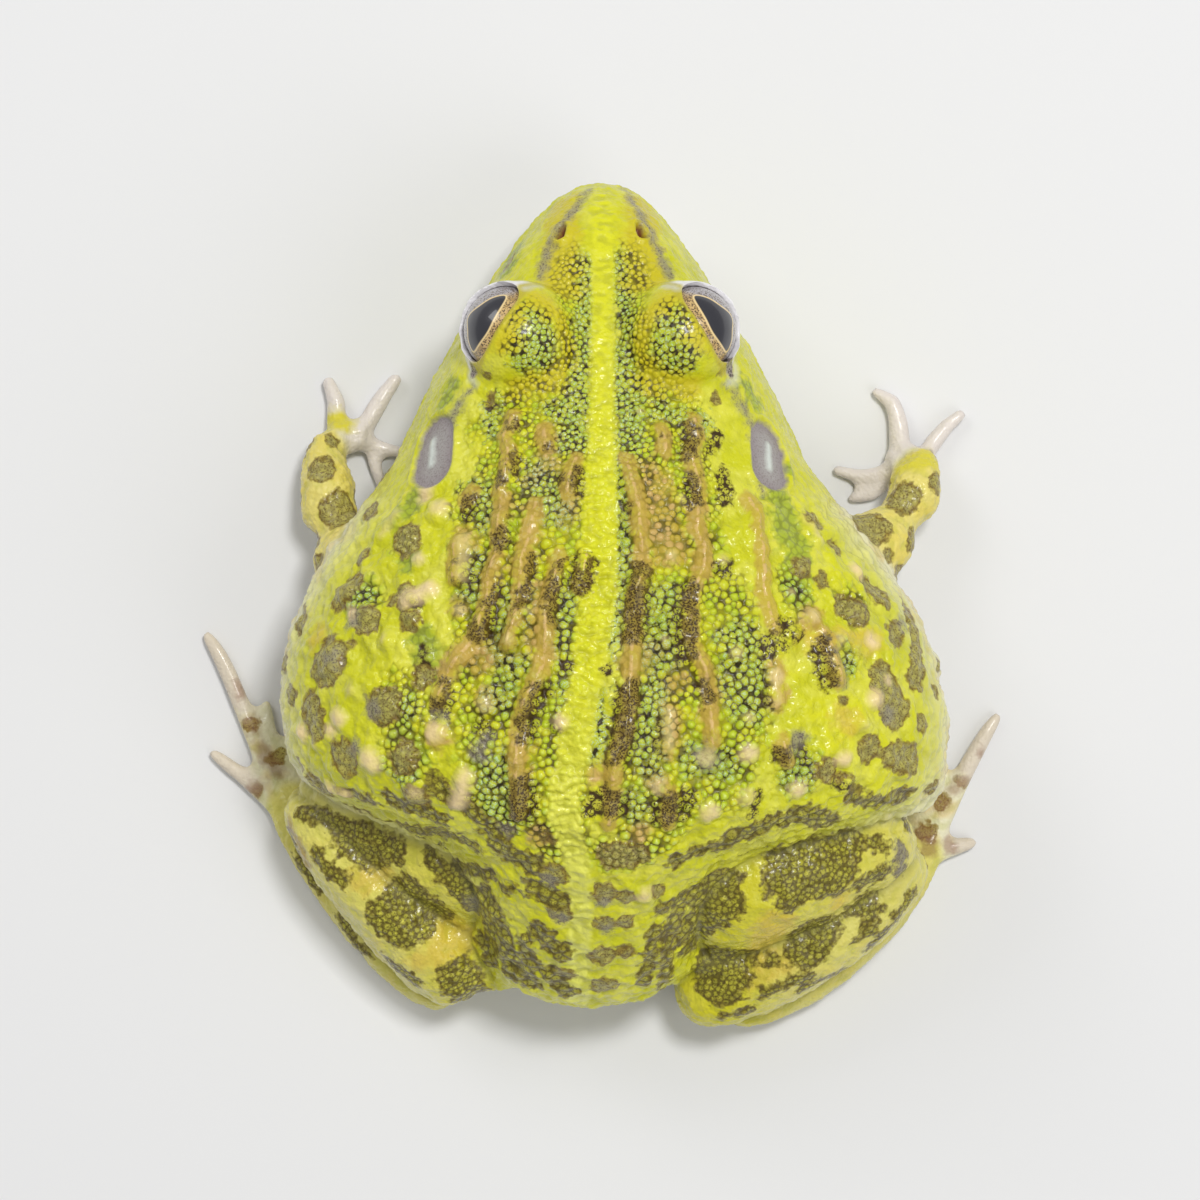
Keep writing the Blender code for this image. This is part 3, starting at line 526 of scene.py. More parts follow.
EDGES = edges_of(fused)
COUNT = len(fused.vertices)
kept = {}
for name in on_part:
    kept[name] = numpy.empty(COUNT, numpy.float32)
    fused.attributes[name].data.foreach_get("value", kept[name])
    fused.attributes.remove(fused.attributes[name])
points = smoothed(points_of(fused), 1 - 0.8 * kept["digits"], FINE_ROUNDS)
place_points(fused, points)
normals = normals_of(fused)
granular = depth_under(GRANULAR)
stripe = depth_under(STRIPE)
print("skin:", COUNT, "corners,", len(fused.polygons), "faces")

# %% [markdown]
# Long folds run along the back, each with a narrow pale crest. They stand about a millimetre high. They
# are drawn along their crests, in pixels of the photograph.

# %% The folds of the back
FOLDS = {
    "left_outer": [(514, 418), (506, 437), (510, 455), (506, 476), (500, 489), (502, 507), (499, 532),
     (496, 556), (489, 577), (487, 600), (480, 628), (470, 644), (450, 670), (445, 684), (438, 704)],
    "left_inner": [(536, 503), (533, 518), (528, 540), (523, 560), (521, 580), (516, 619), (509, 645)],
    "left_near_stripe": [(558, 556), (556, 571), (551, 588), (546, 613), (545, 652), (541, 672),
     (527, 696), (519, 722), (518, 740), (517, 774), (519, 792), (518, 812)],
    "left_short_front": [(544, 428), (546, 446)], "left_short_second": [(576, 460), (569, 480), (567, 494)],
    "left_short_third": [(587, 556), (584, 572), (581, 588)], "left_side": [(473, 493), (464, 502)],
    "left_side_second": [(458, 545), (456, 562), (456, 579)],
    "right_near_stripe": [(626, 459), (632, 480), (638, 507), (640, 530), (642, 559), (643, 570),
     (636, 591), (633, 626), (631, 660), (629, 704), (622, 741), (616, 757), (613, 774), (609, 823)],
    "right_outer": [(693, 421), (697, 438), (691, 457), (693, 467), (699, 486), (697, 513), (695, 530),
     (703, 545), (703, 568), (693, 591), (690, 624), (693, 645), (703, 668), (709, 688), (710, 718),
     (711, 743)],
    "right_short_front": [(662, 430), (665, 452)],
    "right_lateral": [(748, 500), (756, 520), (763, 563), (763, 585), (773, 628)],
    "right_flank": [(812, 616), (822, 630), (837, 682)], "right_rear": [(781, 742), (786, 760)],
    "right_low": [(670, 790), (668, 822)],
}
FOLD_HEIGHT, FOLD_HALF = 0.62, 1.15
CREST_HEIGHT, CREST_HALF = 0.2, 0.26
FOLD_WAVE = 3.0  # mm between the swellings along a fold


def noise_of(size):
    """Smooth noise at each corner, with swellings of about this many mm."""
    return numpy.array([noise.noise(Vector(p) / size) for p in points])


from_fold = -depth_under(FOLDS.values(), 0.0)
wave = noise_of(FOLD_WAVE)
fold_relief = (FOLD_HEIGHT + 0.5 * wave) * numpy.exp(-(from_fold / FOLD_HALF) ** 4)
fold_relief += CREST_HEIGHT * (0.8 + wave) * numpy.exp(-(from_fold / CREST_HALF) ** 2)
print("folds:", len(FOLDS))

# %% [markdown]
# Between and beside the folds stand smooth warts, pale or pinkish at the top. Each is a low dome.

# %% Warts
WARTS = [
    [(440, 511, 1.5)], [(429, 590, 1.1), (408, 600, 0.8)], [(436, 735, 1.4)], [(339, 718, 1.2)],
    [(372, 760, 1.6)], [(404, 756, 1.2)], [(416, 792, 1.5)], [(465, 777, 1.1), (457, 804, 0.8)],
    [(466, 541, 1.3), (464, 578, 1.0)], [(460, 610, 1.1)], [(486, 704, 1.3)], [(511, 641, 1.1)],
    [(561, 722, 0.8)], [(384, 708, 1.6)], [(367, 613, 1.2)], [(411, 616, 1.2)], [(345, 592, 1.2)],
    [(330, 662, 1.9)], [(332, 786, 0.8), (346, 793, 0.7)], [(668, 712, 1.0), (668, 748, 0.9)],
    [(660, 787, 0.9)], [(748, 753, 1.4)], [(746, 796, 0.8)], [(798, 789, 1.0)], [(811, 617, 1.2)],
    [(874, 699, 1.1)], [(856, 571, 0.9)], [(776, 672, 0.8), (776, 702, 0.8)], [(843, 759, 0.9)],
    [(709, 811, 1.4)], [(748, 717, 1.1)], [(858, 612, 1.2)], [(672, 556, 1.0)], [(722, 560, 1.1)],
    [(735, 654, 1.2)], [(706, 757, 1.5)], [(640, 412, 0.8)], [(528, 612, 0.8)], [(548, 500, 0.7)],
    [(680, 500, 0.9)], [(664, 640, 0.9)], [(655, 470, 0.7)], [(790, 593, 0.9)], [(801, 567, 1.0)],
    [(643, 893, 1.0)], [(398, 516, 1.3), (384, 536, 1.0)], [(420, 560, 1.0)], [(386, 640, 1.0)],
    [(352, 690, 1.0)], [(806, 520, 1.2), (818, 540, 1.0)], [(838, 640, 1.0)], [(862, 726, 1.0)],
    [(316, 745, 0.9)], [(904, 772, 0.9)],
]
WART_HEIGHT = 0.75

wart_depth = depth_under(WARTS)
wart_relief = WART_HEIGHT * numpy.sqrt(ramp(wart_depth, -0.5, 1.3))
print("warts:", len(WARTS))

# %% [markdown]
# The mouth is a fine line from one side of the head round the snout to the other, between full lips.
# Each nostril is a small slanting pit with a raised edge.

# %% Mouth and nostrils
MOUTH_LINE = ((-50.9, 12.9), (-47.2, 12.8), (-42.6, 12.6), (-37.0, 12.3), (-32.0, 12.3), (-25.2, 12.8),
              (-19.3, 13.1))
MOUTH_END = -17.5
MOUTH_DEPTH, MOUTH_HALF = 0.6, 0.42
LIP_HEIGHT, LIP_AWAY, LIP_HALF = 0.22, 0.95, 0.5
NOSTRILS = {"left": [(563, 228, 0.22), (560, 236, 0.36)], "right": [(639, 227, 0.22), (642, 235, 0.36)]}
NOSTRIL_DEPTH, NOSTRIL_RIM, NOSTRIL_RIM_AWAY = 0.9, 0.35, 0.6

lengthwise = points[:, 1] - shift.y
line_height = numpy.interp(lengthwise, *zip(*MOUTH_LINE))
sideways = ramp(numpy.abs(normals[:, 2]), 0.85, 0.6) * (kept["head"] > 0.5)
sideways *= ramp(lengthwise, MOUTH_END, MOUTH_END - 1.2)
from_mouth = points[:, 2] - line_height
mouth = sideways * numpy.exp(-(from_mouth / MOUTH_HALF) ** 2)
mouth_relief = sideways * LIP_HEIGHT * numpy.exp(-((numpy.abs(from_mouth) - LIP_AWAY) / LIP_HALF) ** 2)
mouth_relief -= MOUTH_DEPTH * mouth

nostril_depth = depth_under(NOSTRILS.values())
nostril_relief = NOSTRIL_RIM * numpy.exp(-((nostril_depth + NOSTRIL_RIM_AWAY) / 0.4) ** 2)
nostril_relief -= NOSTRIL_DEPTH * ramp(nostril_depth, -0.45, 0.3)
print("mouth corners:", int((mouth > 0.5).sum()), "nostril corners:", int((nostril_depth > 0).sum()))

# %% [markdown]
# A frog's ear is an oval drum of thin skin behind the eye, level with the surface. It lies a little below a
# soft rim, and the small bone behind it shows through as a pale streak.

# %% Eardrums
EARDRUMS = [[(435, 439, 3.0), (431, 465, 3.0)], [(768, 442, 2.8), (771, 469, 2.8)]]
EAR_STREAKS = [[(431, 440, 0.3), (430, 462, 0.4)], [(770, 444, 0.3), (771, 466, 0.4)]]
EAR_SINK, EAR_RIM, EAR_RIM_AWAY = 0.35, 0.3, 0.5
STREAK_HEIGHT = 0.12

ear_depth = depth_under(EARDRUMS)
ear_relief = EAR_RIM * numpy.exp(-((ear_depth + EAR_RIM_AWAY) / 0.45) ** 2)
ear_relief -= EAR_SINK * ramp(ear_depth, -0.3, 0.4)
ear_streak = depth_under(EAR_STREAKS)
ear_relief += STREAK_HEIGHT * ramp(ear_streak, -0.4, 0.3)
print("eardrum corners:", int((ear_depth > 0).sum()))

# %% [markdown]
# Skin that has to bend is creased: behind the eyelids, along the waist where the thigh lies against the
# flank, and across the wrists. The creases are narrow grooves along a few lines.

# %% Wrinkles
WRINKLES = [
    [(298, 800), (335, 812), (372, 822), (412, 834), (452, 846), (486, 862)],
    [(404, 842), (430, 852), (448, 866)], [(688, 856), (740, 840), (790, 822), (812, 816)],
    [(732, 860), (752, 853), (772, 848)], [(840, 826), (880, 829), (904, 830)],
    [(466, 378), (478, 396), (500, 408)], [(735, 380), (722, 398), (700, 408)],
    [(505, 396), (530, 400), (560, 392)], [(697, 396), (670, 400), (642, 392)],
    [(508, 404), (535, 408), (560, 402)], [(694, 404), (668, 408), (644, 402)],
    [(411, 489), (420, 500), (440, 492)], [(790, 492), (780, 503), (760, 496)],
    [(338, 560), (352, 548), (372, 540)], [(868, 560), (852, 548), (832, 540)],
    [(562, 300), (572, 330), (574, 360), (564, 384)], [(640, 300), (630, 330), (628, 360), (640, 384)],
]
WRINKLE_DEPTH, WRINKLE_HALF = 0.3, 0.45
CREASE_DEPTH = 0.35

wrinkle_relief = -WRINKLE_DEPTH * numpy.exp(-(depth_under(WRINKLES, 0.0) / WRINKLE_HALF) ** 2)
crease_relief = -CREASE_DEPTH * kept["creases"] ** 2
print("wrinkles:", len(WRINKLES))

# %% [markdown]
# Each bead of the skin is a small dome with a narrow gap round it. Their middles are drawn by lot from the
# corners of the skin, each a different distance from its neighbours, so large and small beads mix. Every
# corner of the fine mesh then finds the nearest middles, less the radius of each bead. It lies in a gap
# where two come out the same. The gap is kept as a share of the bead's radius: 0 in it and 1 on the top.
# Blender's cell texture cuts such cells at a slant, and here they follow the skin.

# %% Beads of the skin
BEAD_SPACING = (0.56, 1.08)
BEAD_JITTER = 0.12
BEAD_REACH = 1.5  # how far a bead reaches where no other is near, in its radius
BEAD_HIGH, BEAD_LOW = 1.05, 0.28  # of the radius of a bead
BEAD_STEEP = 2.2
BEADS_NEAR = 4  # how many of the nearest middles are looked at
LOT = random.Random(5)

# The beads lie closest together on the legs, the head and the arms.
widen = 1.12 - 0.16 * ramp(coarse_granular, -1.0, 0.5)
widen = widen - 0.42 * on_part["legs"] - 0.28 * on_part["head"] - 0.15 * on_part["arms"]
CELL = BEAD_SPACING[1] * 1.25  # cells of a grid, each wider than any bead
grid = {}


def too_close(x, y, z, spacing, cell):
    """Whether a bead here would overlap one of those that are already in the cells around."""
    a, b, c = cell
    around = ((a + i, b + j, c + k) for i in (-1, 0, 1) for j in (-1, 0, 1) for k in (-1, 0, 1))
    return any((px - x) ** 2 + (py - y) ** 2 + (pz - z) ** 2 < ((spacing + other) / 2) ** 2
               for near in around for px, py, pz, other in grid.get(near, ()))


candidates = numpy.flatnonzero(fine).tolist()
LOT.shuffle(candidates)
bead_places, bead_radii = [], []
for i in candidates:
    place = coarse[i] + [LOT.uniform(-BEAD_JITTER, BEAD_JITTER) for _ in range(3)]
    spacing = LOT.uniform(*BEAD_SPACING) * widen[i]
    x, y, z = place
    cell = int(x // CELL), int(y // CELL), int(z // CELL)
    if not too_close(x, y, z, spacing, cell):
        grid.setdefault(cell, []).append((x, y, z, spacing))
        bead_places.append(place)
        bead_radii.append(spacing / 2)
beads = KDTree(len(bead_places))
for i, place in enumerate(bead_places):
    beads.insert(place, i)
beads.balance()
bead_luck = numpy.array([[LOT.random(), LOT.random()] for _ in bead_places])

bead_gap = numpy.full(COUNT, 1.0)
bead_size = numpy.zeros(COUNT)
bead_cell = numpy.full((COUNT, 2), 0.4)
above = normals[:, 2] > FINE_TURN - 0.1
beaded = numpy.flatnonzero(above & (kept["digits"] < 0.6) & (kept["hands"] < 0.6))
for i in beaded:
    ranked = sorted((away - bead_radii[k], k) for _, k, away in beads.find_n(points[i], BEADS_NEAR))
    bead_size[i] = bead_radii[ranked[0][1]]
    across = (ranked[1][0] - ranked[0][0]) / 2 / bead_size[i]
    bead_gap[i] = min(across, 1 - (ranked[0][0] + bead_size[i]) / bead_size[i] / BEAD_REACH)
    bead_cell[i] = bead_luck[ranked[0][1]]

# The beads fade on folds, warts, eardrums, lids, hands and digits.
on_fold = ramp(from_fold, 1.3, 0.9)
bare = (1 - 0.92 * on_fold) * (1 - 0.9 * ramp(wart_depth, -0.3, 0.3)) * (1 - ramp(ear_depth, -0.8, -0.2))
bare *= (1 - 0.9 * ramp(kept["near_lids"], 0.5, 1.0)) * (1 - kept["hands"]) * (1 - kept["digits"])
bead_height = BEAD_LOW + (BEAD_HIGH - BEAD_LOW) * ramp(granular, -0.8, 0.4)
bead_height *= bead_size * bare * (1 - 0.45 * ramp(stripe, -0.3, 0.3)) * (0.7 + 0.6 * bead_cell[:, 0])
sharp_dome = 0.45 - (1 - numpy.clip(bead_gap, 0, 1)) ** BEAD_STEEP
soft_dome = ramp(bead_gap, -0.3, 1.0) - 0.55
bead_relief = bead_height * numpy.where(granular > -0.2, sharp_dome, soft_dome)
print("beads:", len(bead_places), "on", len(beaded), "corners")

# %% [markdown]
# The rest of the skin isn't smooth either. It has low uneven lumps a few millimetres across, and fine
# wrinkles run across the stripe and down the flanks. Smooth noise gives both.

# %% Lumps and fine wrinkles
LUMP, LUMP_HEIGHT = 3.0, 0.55
PEBBLE, PEBBLE_HEIGHT = 1.2, 0.34
FOLDLET, FOLDLET_HEIGHT = (1.2, 0.66, 1.2), 0.38

# The lids, the head, the limbs and the eardrums are calmer than the back.
calm = (1 - kept["near_lids"]) * (1 - 0.8 * kept["digits"]) * (1 - 0.6 * kept["head"])
calm *= (1 - ramp(ear_depth, -1.0, 0.0)) * (1 - 0.4 * kept["legs"]) * (1 - 0.4 * kept["feet"])
calm *= 1 - 0.5 * kept["arms"]
lump = noise_of(LUMP)
pebble = noise_of(PEBBLE)
foldlet = numpy.array([noise.noise(Vector(p)) for p in points / FOLDLET])
lump_relief = LUMP_HEIGHT * lump * calm * (1 - 0.5 * kept["hands"])
lump_relief += PEBBLE_HEIGHT * pebble * calm * (1 - 0.7 * ramp(granular, -1.0, 0.0))
across_stripe = 0.25 * ramp(granular, -0.8, 0.4) + 0.75 * ramp(stripe, -0.5, 0.5)
across_stripe *= 1 - 0.6 * ramp(points[:, 1], 18.0, 30.0)
lump_relief += FOLDLET_HEIGHT * foldlet * across_stripe * (1 - kept["near_lids"]) * (1 - 0.5 * kept["head"])
print("lumps of", LUMP_HEIGHT, "mm, foldlets of", FOLDLET_HEIGHT, "mm")

# %% [markdown]
# The lids rest on the eyeball, so all skin that is near an eye is pushed out to just off its surface.
# The parts of the relief are then added up and worked into the skin along its normals.

# %% Work the relief into the skin
FLAT_BELOW = (0.6, 2.5)  # the flats that the animal rests on stay flat
LID_CLEAR = 0.04
LID_BED, LID_RISE, LID_ZONE = 5.6, 6.2, 6.4  # distances from the middle of the eye

even_normals = normals
relief = fold_relief + wart_relief + mouth_relief + nostril_relief + ear_relief + wrinkle_relief
relief += crease_relief
relief *= 1 - kept["near_lids"]
relief += bead_relief + lump_relief
shown = ramp(points[:, 2], *FLAT_BELOW)
points = points + normals * (relief * shown)[:, None]
for side in (1, -1):
    centre = numpy.array(eye_centre(side))
    away = points - centre
    distance = numpy.linalg.norm(away, axis=1)
    off_ball = numpy.interp(distance, [0, LID_BED, LID_RISE, LID_ZONE],
                            [EYE_RADIUS + LID_CLEAR, EYE_RADIUS + LID_CLEAR, LID_RISE, LID_ZONE])
    inside = distance < LID_ZONE
    points[inside] = centre + away[inside] * (off_ball[inside] / distance[inside])[:, None]
place_points(fused, points)
normals = normals_of(fused)
print("relief from", relief.min().round(2), "to", relief.max().round(2), "mm")

# %% [markdown]
# The colour pattern of this frog is made of a few kinds of mark: the stripe, dark speckled patches along
# the folds, ringed spots on the flanks, netted patches on the legs, and pale, tan and grey areas. Each kind
# is a list of lines, laid like the folds. The skin keeps, for each kind, how deep every corner lies inside
# it. The material turns these depths into colour with ragged edges, so no picture is needed.

# %% The marks that the photograph shows
DARK = [
    [(514, 426, 0.8), (507, 438, 0.6)], [(514, 458, 0.9), (510, 472, 1.2), (504, 483, 1.0)],
    [(505, 522, 0.9), (501, 545, 1.2)], [(499, 590, 0.9), (493, 605, 1.0), (484, 630, 1.3)],
    [(448, 684, 0.9), (441, 708, 1.3)], [(547, 446, 0.7)], [(577, 472, 0.9), (576, 488, 1.0)],
    [(560, 480, 0.7)], [(532, 560, 0.7), (519, 612, 1.0)], [(561, 568, 0.9), (549, 615, 1.1)],
    [(541, 690, 1.3), (531, 709, 1.4), (526, 736, 1.2)], [(523, 788, 1.9), (523, 812, 1.8)],
    [(590, 560, 1.0), (583, 586, 1.2)], [(578, 560, 0.8), (574, 582, 0.9)],
    [(640, 575, 1.4), (633, 632, 1.6)], [(628, 690, 1.5), (622, 745, 1.5), (616, 760, 1.3)],
    [(606, 802, 2.2), (594, 806, 1.4), (618, 806, 1.5)],
    [(672, 806, 2.5), (664, 812, 2.0), (684, 800, 1.6)], [(661, 438, 0.7)],
    [(690, 428, 1.0), (688, 452, 1.1)], [(692, 482, 1.2), (691, 498, 1.4)],
    [(689, 588, 1.2), (684, 620, 1.5), (687, 654, 1.3)], [(700, 686, 0.9), (706, 699, 1.0)],
    [(725, 473, 0.9), (725, 499, 1.0)], [(768, 637, 1.1), (768, 650, 1.2)],
    [(463, 562, 1.2), (465, 578, 1.3)], [(461, 608, 0.9)], [(471, 502, 1.1), (468, 514, 1.0)],
    [(722, 568, 1.3)], [(481, 723, 0.9), (487, 735, 0.9)], [(568, 666, 0.9)], [(607, 670, 0.6)],
    [(554, 727, 0.7)], [(658, 722, 0.4), (658, 752, 0.4)], [(470, 800, 0.9)],
    [(543, 827, 0.5), (550, 841, 0.6)], [(757, 795, 0.7), (751, 814, 0.7)],
    [(785, 622, 0.9), (782, 644, 0.8)], [(768, 689, 0.5), (770, 704, 0.6)], [(782, 754, 1.3)],
    [(773, 818, 0.8)], [(447, 826, 0.6)], [(492, 404, 0.8)],
    [(824, 640, 0.8), (821, 655, 1.5), (827, 678, 1.5)], [(638, 636, 0.9), (636, 600, 0.8)],
    [(734, 858, 0.4), (755, 851, 0.4), (764, 848, 0.3)], [(711, 450, 0.9), (716, 436, 0.8)],
    [(627, 510, 0.7)], [(421, 838, 0.5), (447, 847, 0.4)], [(480, 622, 0.9), (474, 636, 0.8)],
    [(416, 600, 1.0), (414, 616, 0.9)], [(424, 652, 0.8), (426, 676, 0.9)],
    [(804, 754, 1.0), (800, 744, 0.8)], [(832, 776, 1.0), (846, 786, 0.8)], [(765, 700, 0.7)],
    [(796, 636, 0.8)],
]
SPOTS = [
    [(342, 598, 1.7), (354, 584, 1.8)], [(366, 620, 1.9)], [(411, 620, 1.5)],
    [(330, 658, 2.7), (326, 669, 2.6)], [(303, 610, 1.2), (300, 626, 1.2)],
    [(311, 708, 2.0), (315, 724, 2.0)], [(287, 663, 1.2)], [(292, 695, 1.3)], [(384, 706, 2.5)],
    [(344, 758, 2.4)], [(315, 782, 1.6), (328, 792, 1.2)], [(404, 758, 2.0)], [(417, 797, 2.0)],
    [(422, 677, 1.5)], [(406, 590, 1.0), (401, 606, 0.8)], [(407, 540, 2.2)],
    [(858, 613, 1.9), (844, 606, 1.6)], [(868, 584, 1.3), (881, 598, 1.5)], [(801, 568, 1.3)],
    [(896, 634, 1.7)], [(906, 606, 1.1), (917, 645, 1.2), (916, 680, 1.6)],
    [(884, 680, 2.3), (895, 708, 2.5)], [(921, 724, 1.2)], [(870, 749, 1.8)],
    [(892, 755, 1.7), (908, 760, 2.2)], [(936, 666, 0.8)], [(935, 691, 0.9)], [(826, 770, 1.6)],
    [(840, 777, 0.7), (849, 776, 0.5)], [(852, 796, 1.4)], [(904, 796, 1.6)],
    [(612, 855, 2.0), (634, 855, 2.0)], [(604, 893, 1.6)], [(626, 896, 1.2)], [(657, 891, 1.0)],
    [(604, 924, 1.3)], [(625, 924, 1.2)], [(602, 955, 1.7)], [(625, 952, 1.2)], [(604, 986, 1.7)],
    [(548, 838, 0.9)], [(553, 874, 1.9)], [(560, 911, 1.7)], [(564, 975, 1.5)], [(553, 945, 1.3)],
    [(322, 469, 1.9)], [(340, 511, 2.6)], [(303, 519, 1.0)], [(317, 560, 1.2)], [(333, 440, 0.9)],
    [(871, 527, 2.6)], [(904, 498, 2.2)], [(936, 483, 1.5)], [(913, 541, 1.5)], [(889, 556, 1.0)],
    [(240, 688, 0.8)], [(252, 725, 1.0)], [(276, 758, 1.1)], [(255, 790, 1.0)], [(300, 765, 0.9)],
    [(980, 750, 0.8)], [(963, 780, 1.0)], [(942, 802, 1.1)], [(927, 832, 1.2)], [(958, 841, 0.8)],
    [(932, 789, 1.3)], [(486, 374, 0.7)], [(490, 398, 0.6)], [(721, 372, 0.7)], [(716, 398, 0.6)],
    [(812, 520, 1.4)], [(836, 545, 1.2)], [(372, 512, 1.3)], [(392, 600, 0.8)], [(364, 556, 1.0)],
    [(822, 580, 1.0)], [(844, 700, 0.7)], [(352, 640, 0.6)], [(513, 250, 1.6), (509, 262, 1.4)],
    [(692, 250, 1.5), (697, 264, 1.4)], [(534, 214, 0.9)], [(668, 214, 0.9)],
]
NETTED = [
    [(345, 843, 1.5), (367, 852, 2.1), (392, 852, 1.5)], [(403, 914, 4.4), (412, 892, 2.6)],
    [(434, 908, 2.2)], [(460, 979, 3.0), (470, 994, 2.2)], [(386, 958, 0.9), (414, 982, 1.1)],
    [(317, 854, 0.9), (325, 868, 0.9), (343, 880, 0.9)],
    [(456, 880, 1.8), (475, 900, 2.5), (494, 910, 1.8)],
    [(488, 836, 1.2), (510, 856, 1.3), (532, 868, 1.2)], [(525, 940, 1.1), (530, 985, 1.1)],
    [(482, 942, 1.2), (508, 955, 1.3)], [(456, 866, 0.9), (488, 874, 1.0)],
    [(505, 887, 0.6), (526, 890, 0.6)], [(302, 812, 0.9), (351, 830, 1.3), (396, 846, 1.2)],
    [(350, 806, 1.2), (388, 821, 1.3), (420, 830, 1.4), (451, 835, 1.2), (474, 846, 0.8)],
    [(785, 852, 2.4), (848, 846, 2.2)], [(788, 880, 2.9), (836, 876, 2.7)], [(790, 898, 2.0)],
    [(722, 880, 2.3), (700, 892, 2.5)], [(726, 904, 2.4), (692, 926, 2.8)], [(688, 948, 1.8)],
    [(664, 908, 1.1)], [(812, 930, 3.4), (808, 946, 3.0)], [(728, 958, 3.4), (720, 978, 3.4)],
    [(861, 905, 2.1), (872, 912, 1.6)], [(772, 959, 1.0)], [(765, 992, 0.9), (805, 978, 1.1)],
    [(722, 1016, 0.6), (750, 1010, 0.6)], [(871, 930, 0.9), (861, 940, 0.9)],
    [(857, 886, 1.0), (882, 875, 1.2)],
    [(689, 856, 1.0), (722, 844, 1.4), (755, 829, 1.4), (802, 815, 1.7), (828, 822, 1.6)],
    [(852, 796, 1.0), (873, 803, 1.0), (904, 798, 1.2)], [(906, 820, 1.5)],
    [(654, 931, 0.9), (644, 983, 1.0)], [(289, 834, 0.9), (306, 871, 0.9), (319, 886, 0.8)],
    [(343, 921, 0.7), (356, 945, 0.8), (369, 953, 0.7)], [(911, 898, 0.8), (873, 945, 0.8)],
    [(802, 990, 0.7), (846, 968, 0.8)], [(505, 830, 1.0)], [(901, 846, 1.0), (900, 872, 1.0)],
    [(497, 836, 1.2)], [(432, 784, 1.2), (462, 806, 1.1), (490, 826, 1.0)],
    [(500, 846, 1.5), (532, 862, 1.6)], [(534, 886, 1.4), (556, 900, 1.4)],
    [(500, 926, 1.6), (512, 972, 1.7)], [(540, 930, 1.3), (560, 952, 1.5)],
    [(536, 966, 1.2), (566, 990, 1.4)], [(488, 900, 1.8), (490, 960, 1.2)],
    [(676, 860, 1.2), (700, 850, 1.0)], [(668, 940, 1.2), (664, 985, 1.0)],
    [(680, 900, 1.6), (672, 930, 1.4)], [(430, 858, 1.1), (446, 876, 1.2)], [(820, 846, 1.8)],
    [(846, 870, 1.6)], [(340, 790, 1.0), (372, 800, 1.0)], [(392, 800, 1.1), (440, 818, 1.1)],
    [(850, 838, 1.0), (880, 846, 0.9)],
]
BANDS = [
    [(581, 258, 1.1), (583, 335, 1.3)], [(582, 355, 1.6), (576, 400, 1.9), (577, 445, 1.9)],
    [(622, 258, 1.1), (627, 335, 1.4)], [(624, 355, 1.6), (630, 400, 2.2), (624, 445, 1.9)],
    [(622, 460, 1.2), (624, 560, 1.2)], [(618, 570, 1.5), (616, 640, 1.6)],
    [(600, 697, 1.1), (598, 731, 1.1), (595, 752, 1.0)], [(532, 322, 2.6), (534, 350, 3.2)],
    [(675, 320, 2.6), (674, 350, 3.2)], [(492, 404, 0.9), (490, 430, 1.1)],
    [(568, 668, 1.1), (566, 730, 1.1)], [(478, 492, 1.6), (484, 520, 1.4)],
    [(540, 480, 2.4), (556, 510, 2.2)], [(514, 600, 2.2), (506, 640, 2.0)],
    [(566, 600, 1.6), (560, 640, 1.6)], [(664, 600, 2.2), (662, 660, 2.2)],
    [(650, 690, 1.7), (650, 770, 1.6)], [(512, 664, 1.8), (498, 700, 1.8)],
    [(497, 770, 2.4), (500, 812, 2.6)], [(740, 640, 2.6), (746, 700, 2.6)],
    [(700, 760, 2.4), (722, 764, 1.8)], [(636, 806, 2.2)], [(410, 710, 1.4)],
    [(474, 590, 1.8), (478, 560, 1.4)], [(636, 700, 1.0), (640, 760, 1.0)],
    [(550, 412, 1.4), (575, 415, 1.4)], [(660, 410, 1.4), (700, 425, 1.6)], [(795, 590, 1.2)],
    [(846, 662, 1.4)], [(800, 772, 2.4)], [(362, 600, 1.8)], [(404, 770, 1.6)],
]
TAN = [
    [(506, 500, 1.1), (499, 524, 1.2)], [(496, 556, 1.2), (490, 584, 1.2)],
    [(545, 430, 0.9), (547, 452, 1.0)], [(533, 508, 0.9), (528, 542, 1.0), (522, 574, 1.1)],
    [(511, 634, 1.2), (511, 650, 1.3)], [(475, 640, 1.2), (450, 668, 1.1)],
    [(547, 622, 1.1), (545, 656, 1.2)], [(521, 744, 1.2), (520, 775, 1.2)],
    [(632, 638, 1.2), (631, 678, 1.2)], [(613, 768, 1.2), (612, 788, 1.0)],
    [(568, 498, 1.3), (566, 514, 1.2)], [(464, 536, 1.4), (470, 544, 1.3)], [(486, 700, 1.4)],
    [(460, 606, 1.1)], [(652, 500, 2.4), (670, 545, 2.6)], [(668, 712, 1.3), (668, 748, 1.3)],
    [(708, 672, 1.1), (710, 720, 1.3)], [(700, 540, 1.2), (703, 566, 1.2)],
    [(640, 520, 0.9), (642, 562, 0.9)], [(697, 506, 1.0), (696, 526, 1.1)],
    [(776, 669, 1.1), (776, 702, 1.1)], [(811, 617, 1.4)], [(664, 432, 0.7), (665, 450, 0.7)],
    [(648, 470, 1.2), (660, 480, 1.2)], [(528, 480, 1.0), (552, 466, 1.2)], [(596, 776, 1.1)],
    [(656, 780, 1.4)], [(436, 738, 1.4)], [(538, 836, 1.4)], [(640, 832, 1.2)],
    [(640, 668, 1.0), (656, 650, 1.1)], [(540, 590, 1.2), (536, 640, 1.4)],
    [(480, 660, 1.6), (500, 650, 1.4)], [(676, 680, 1.4)], [(590, 640, 0.4)],
]
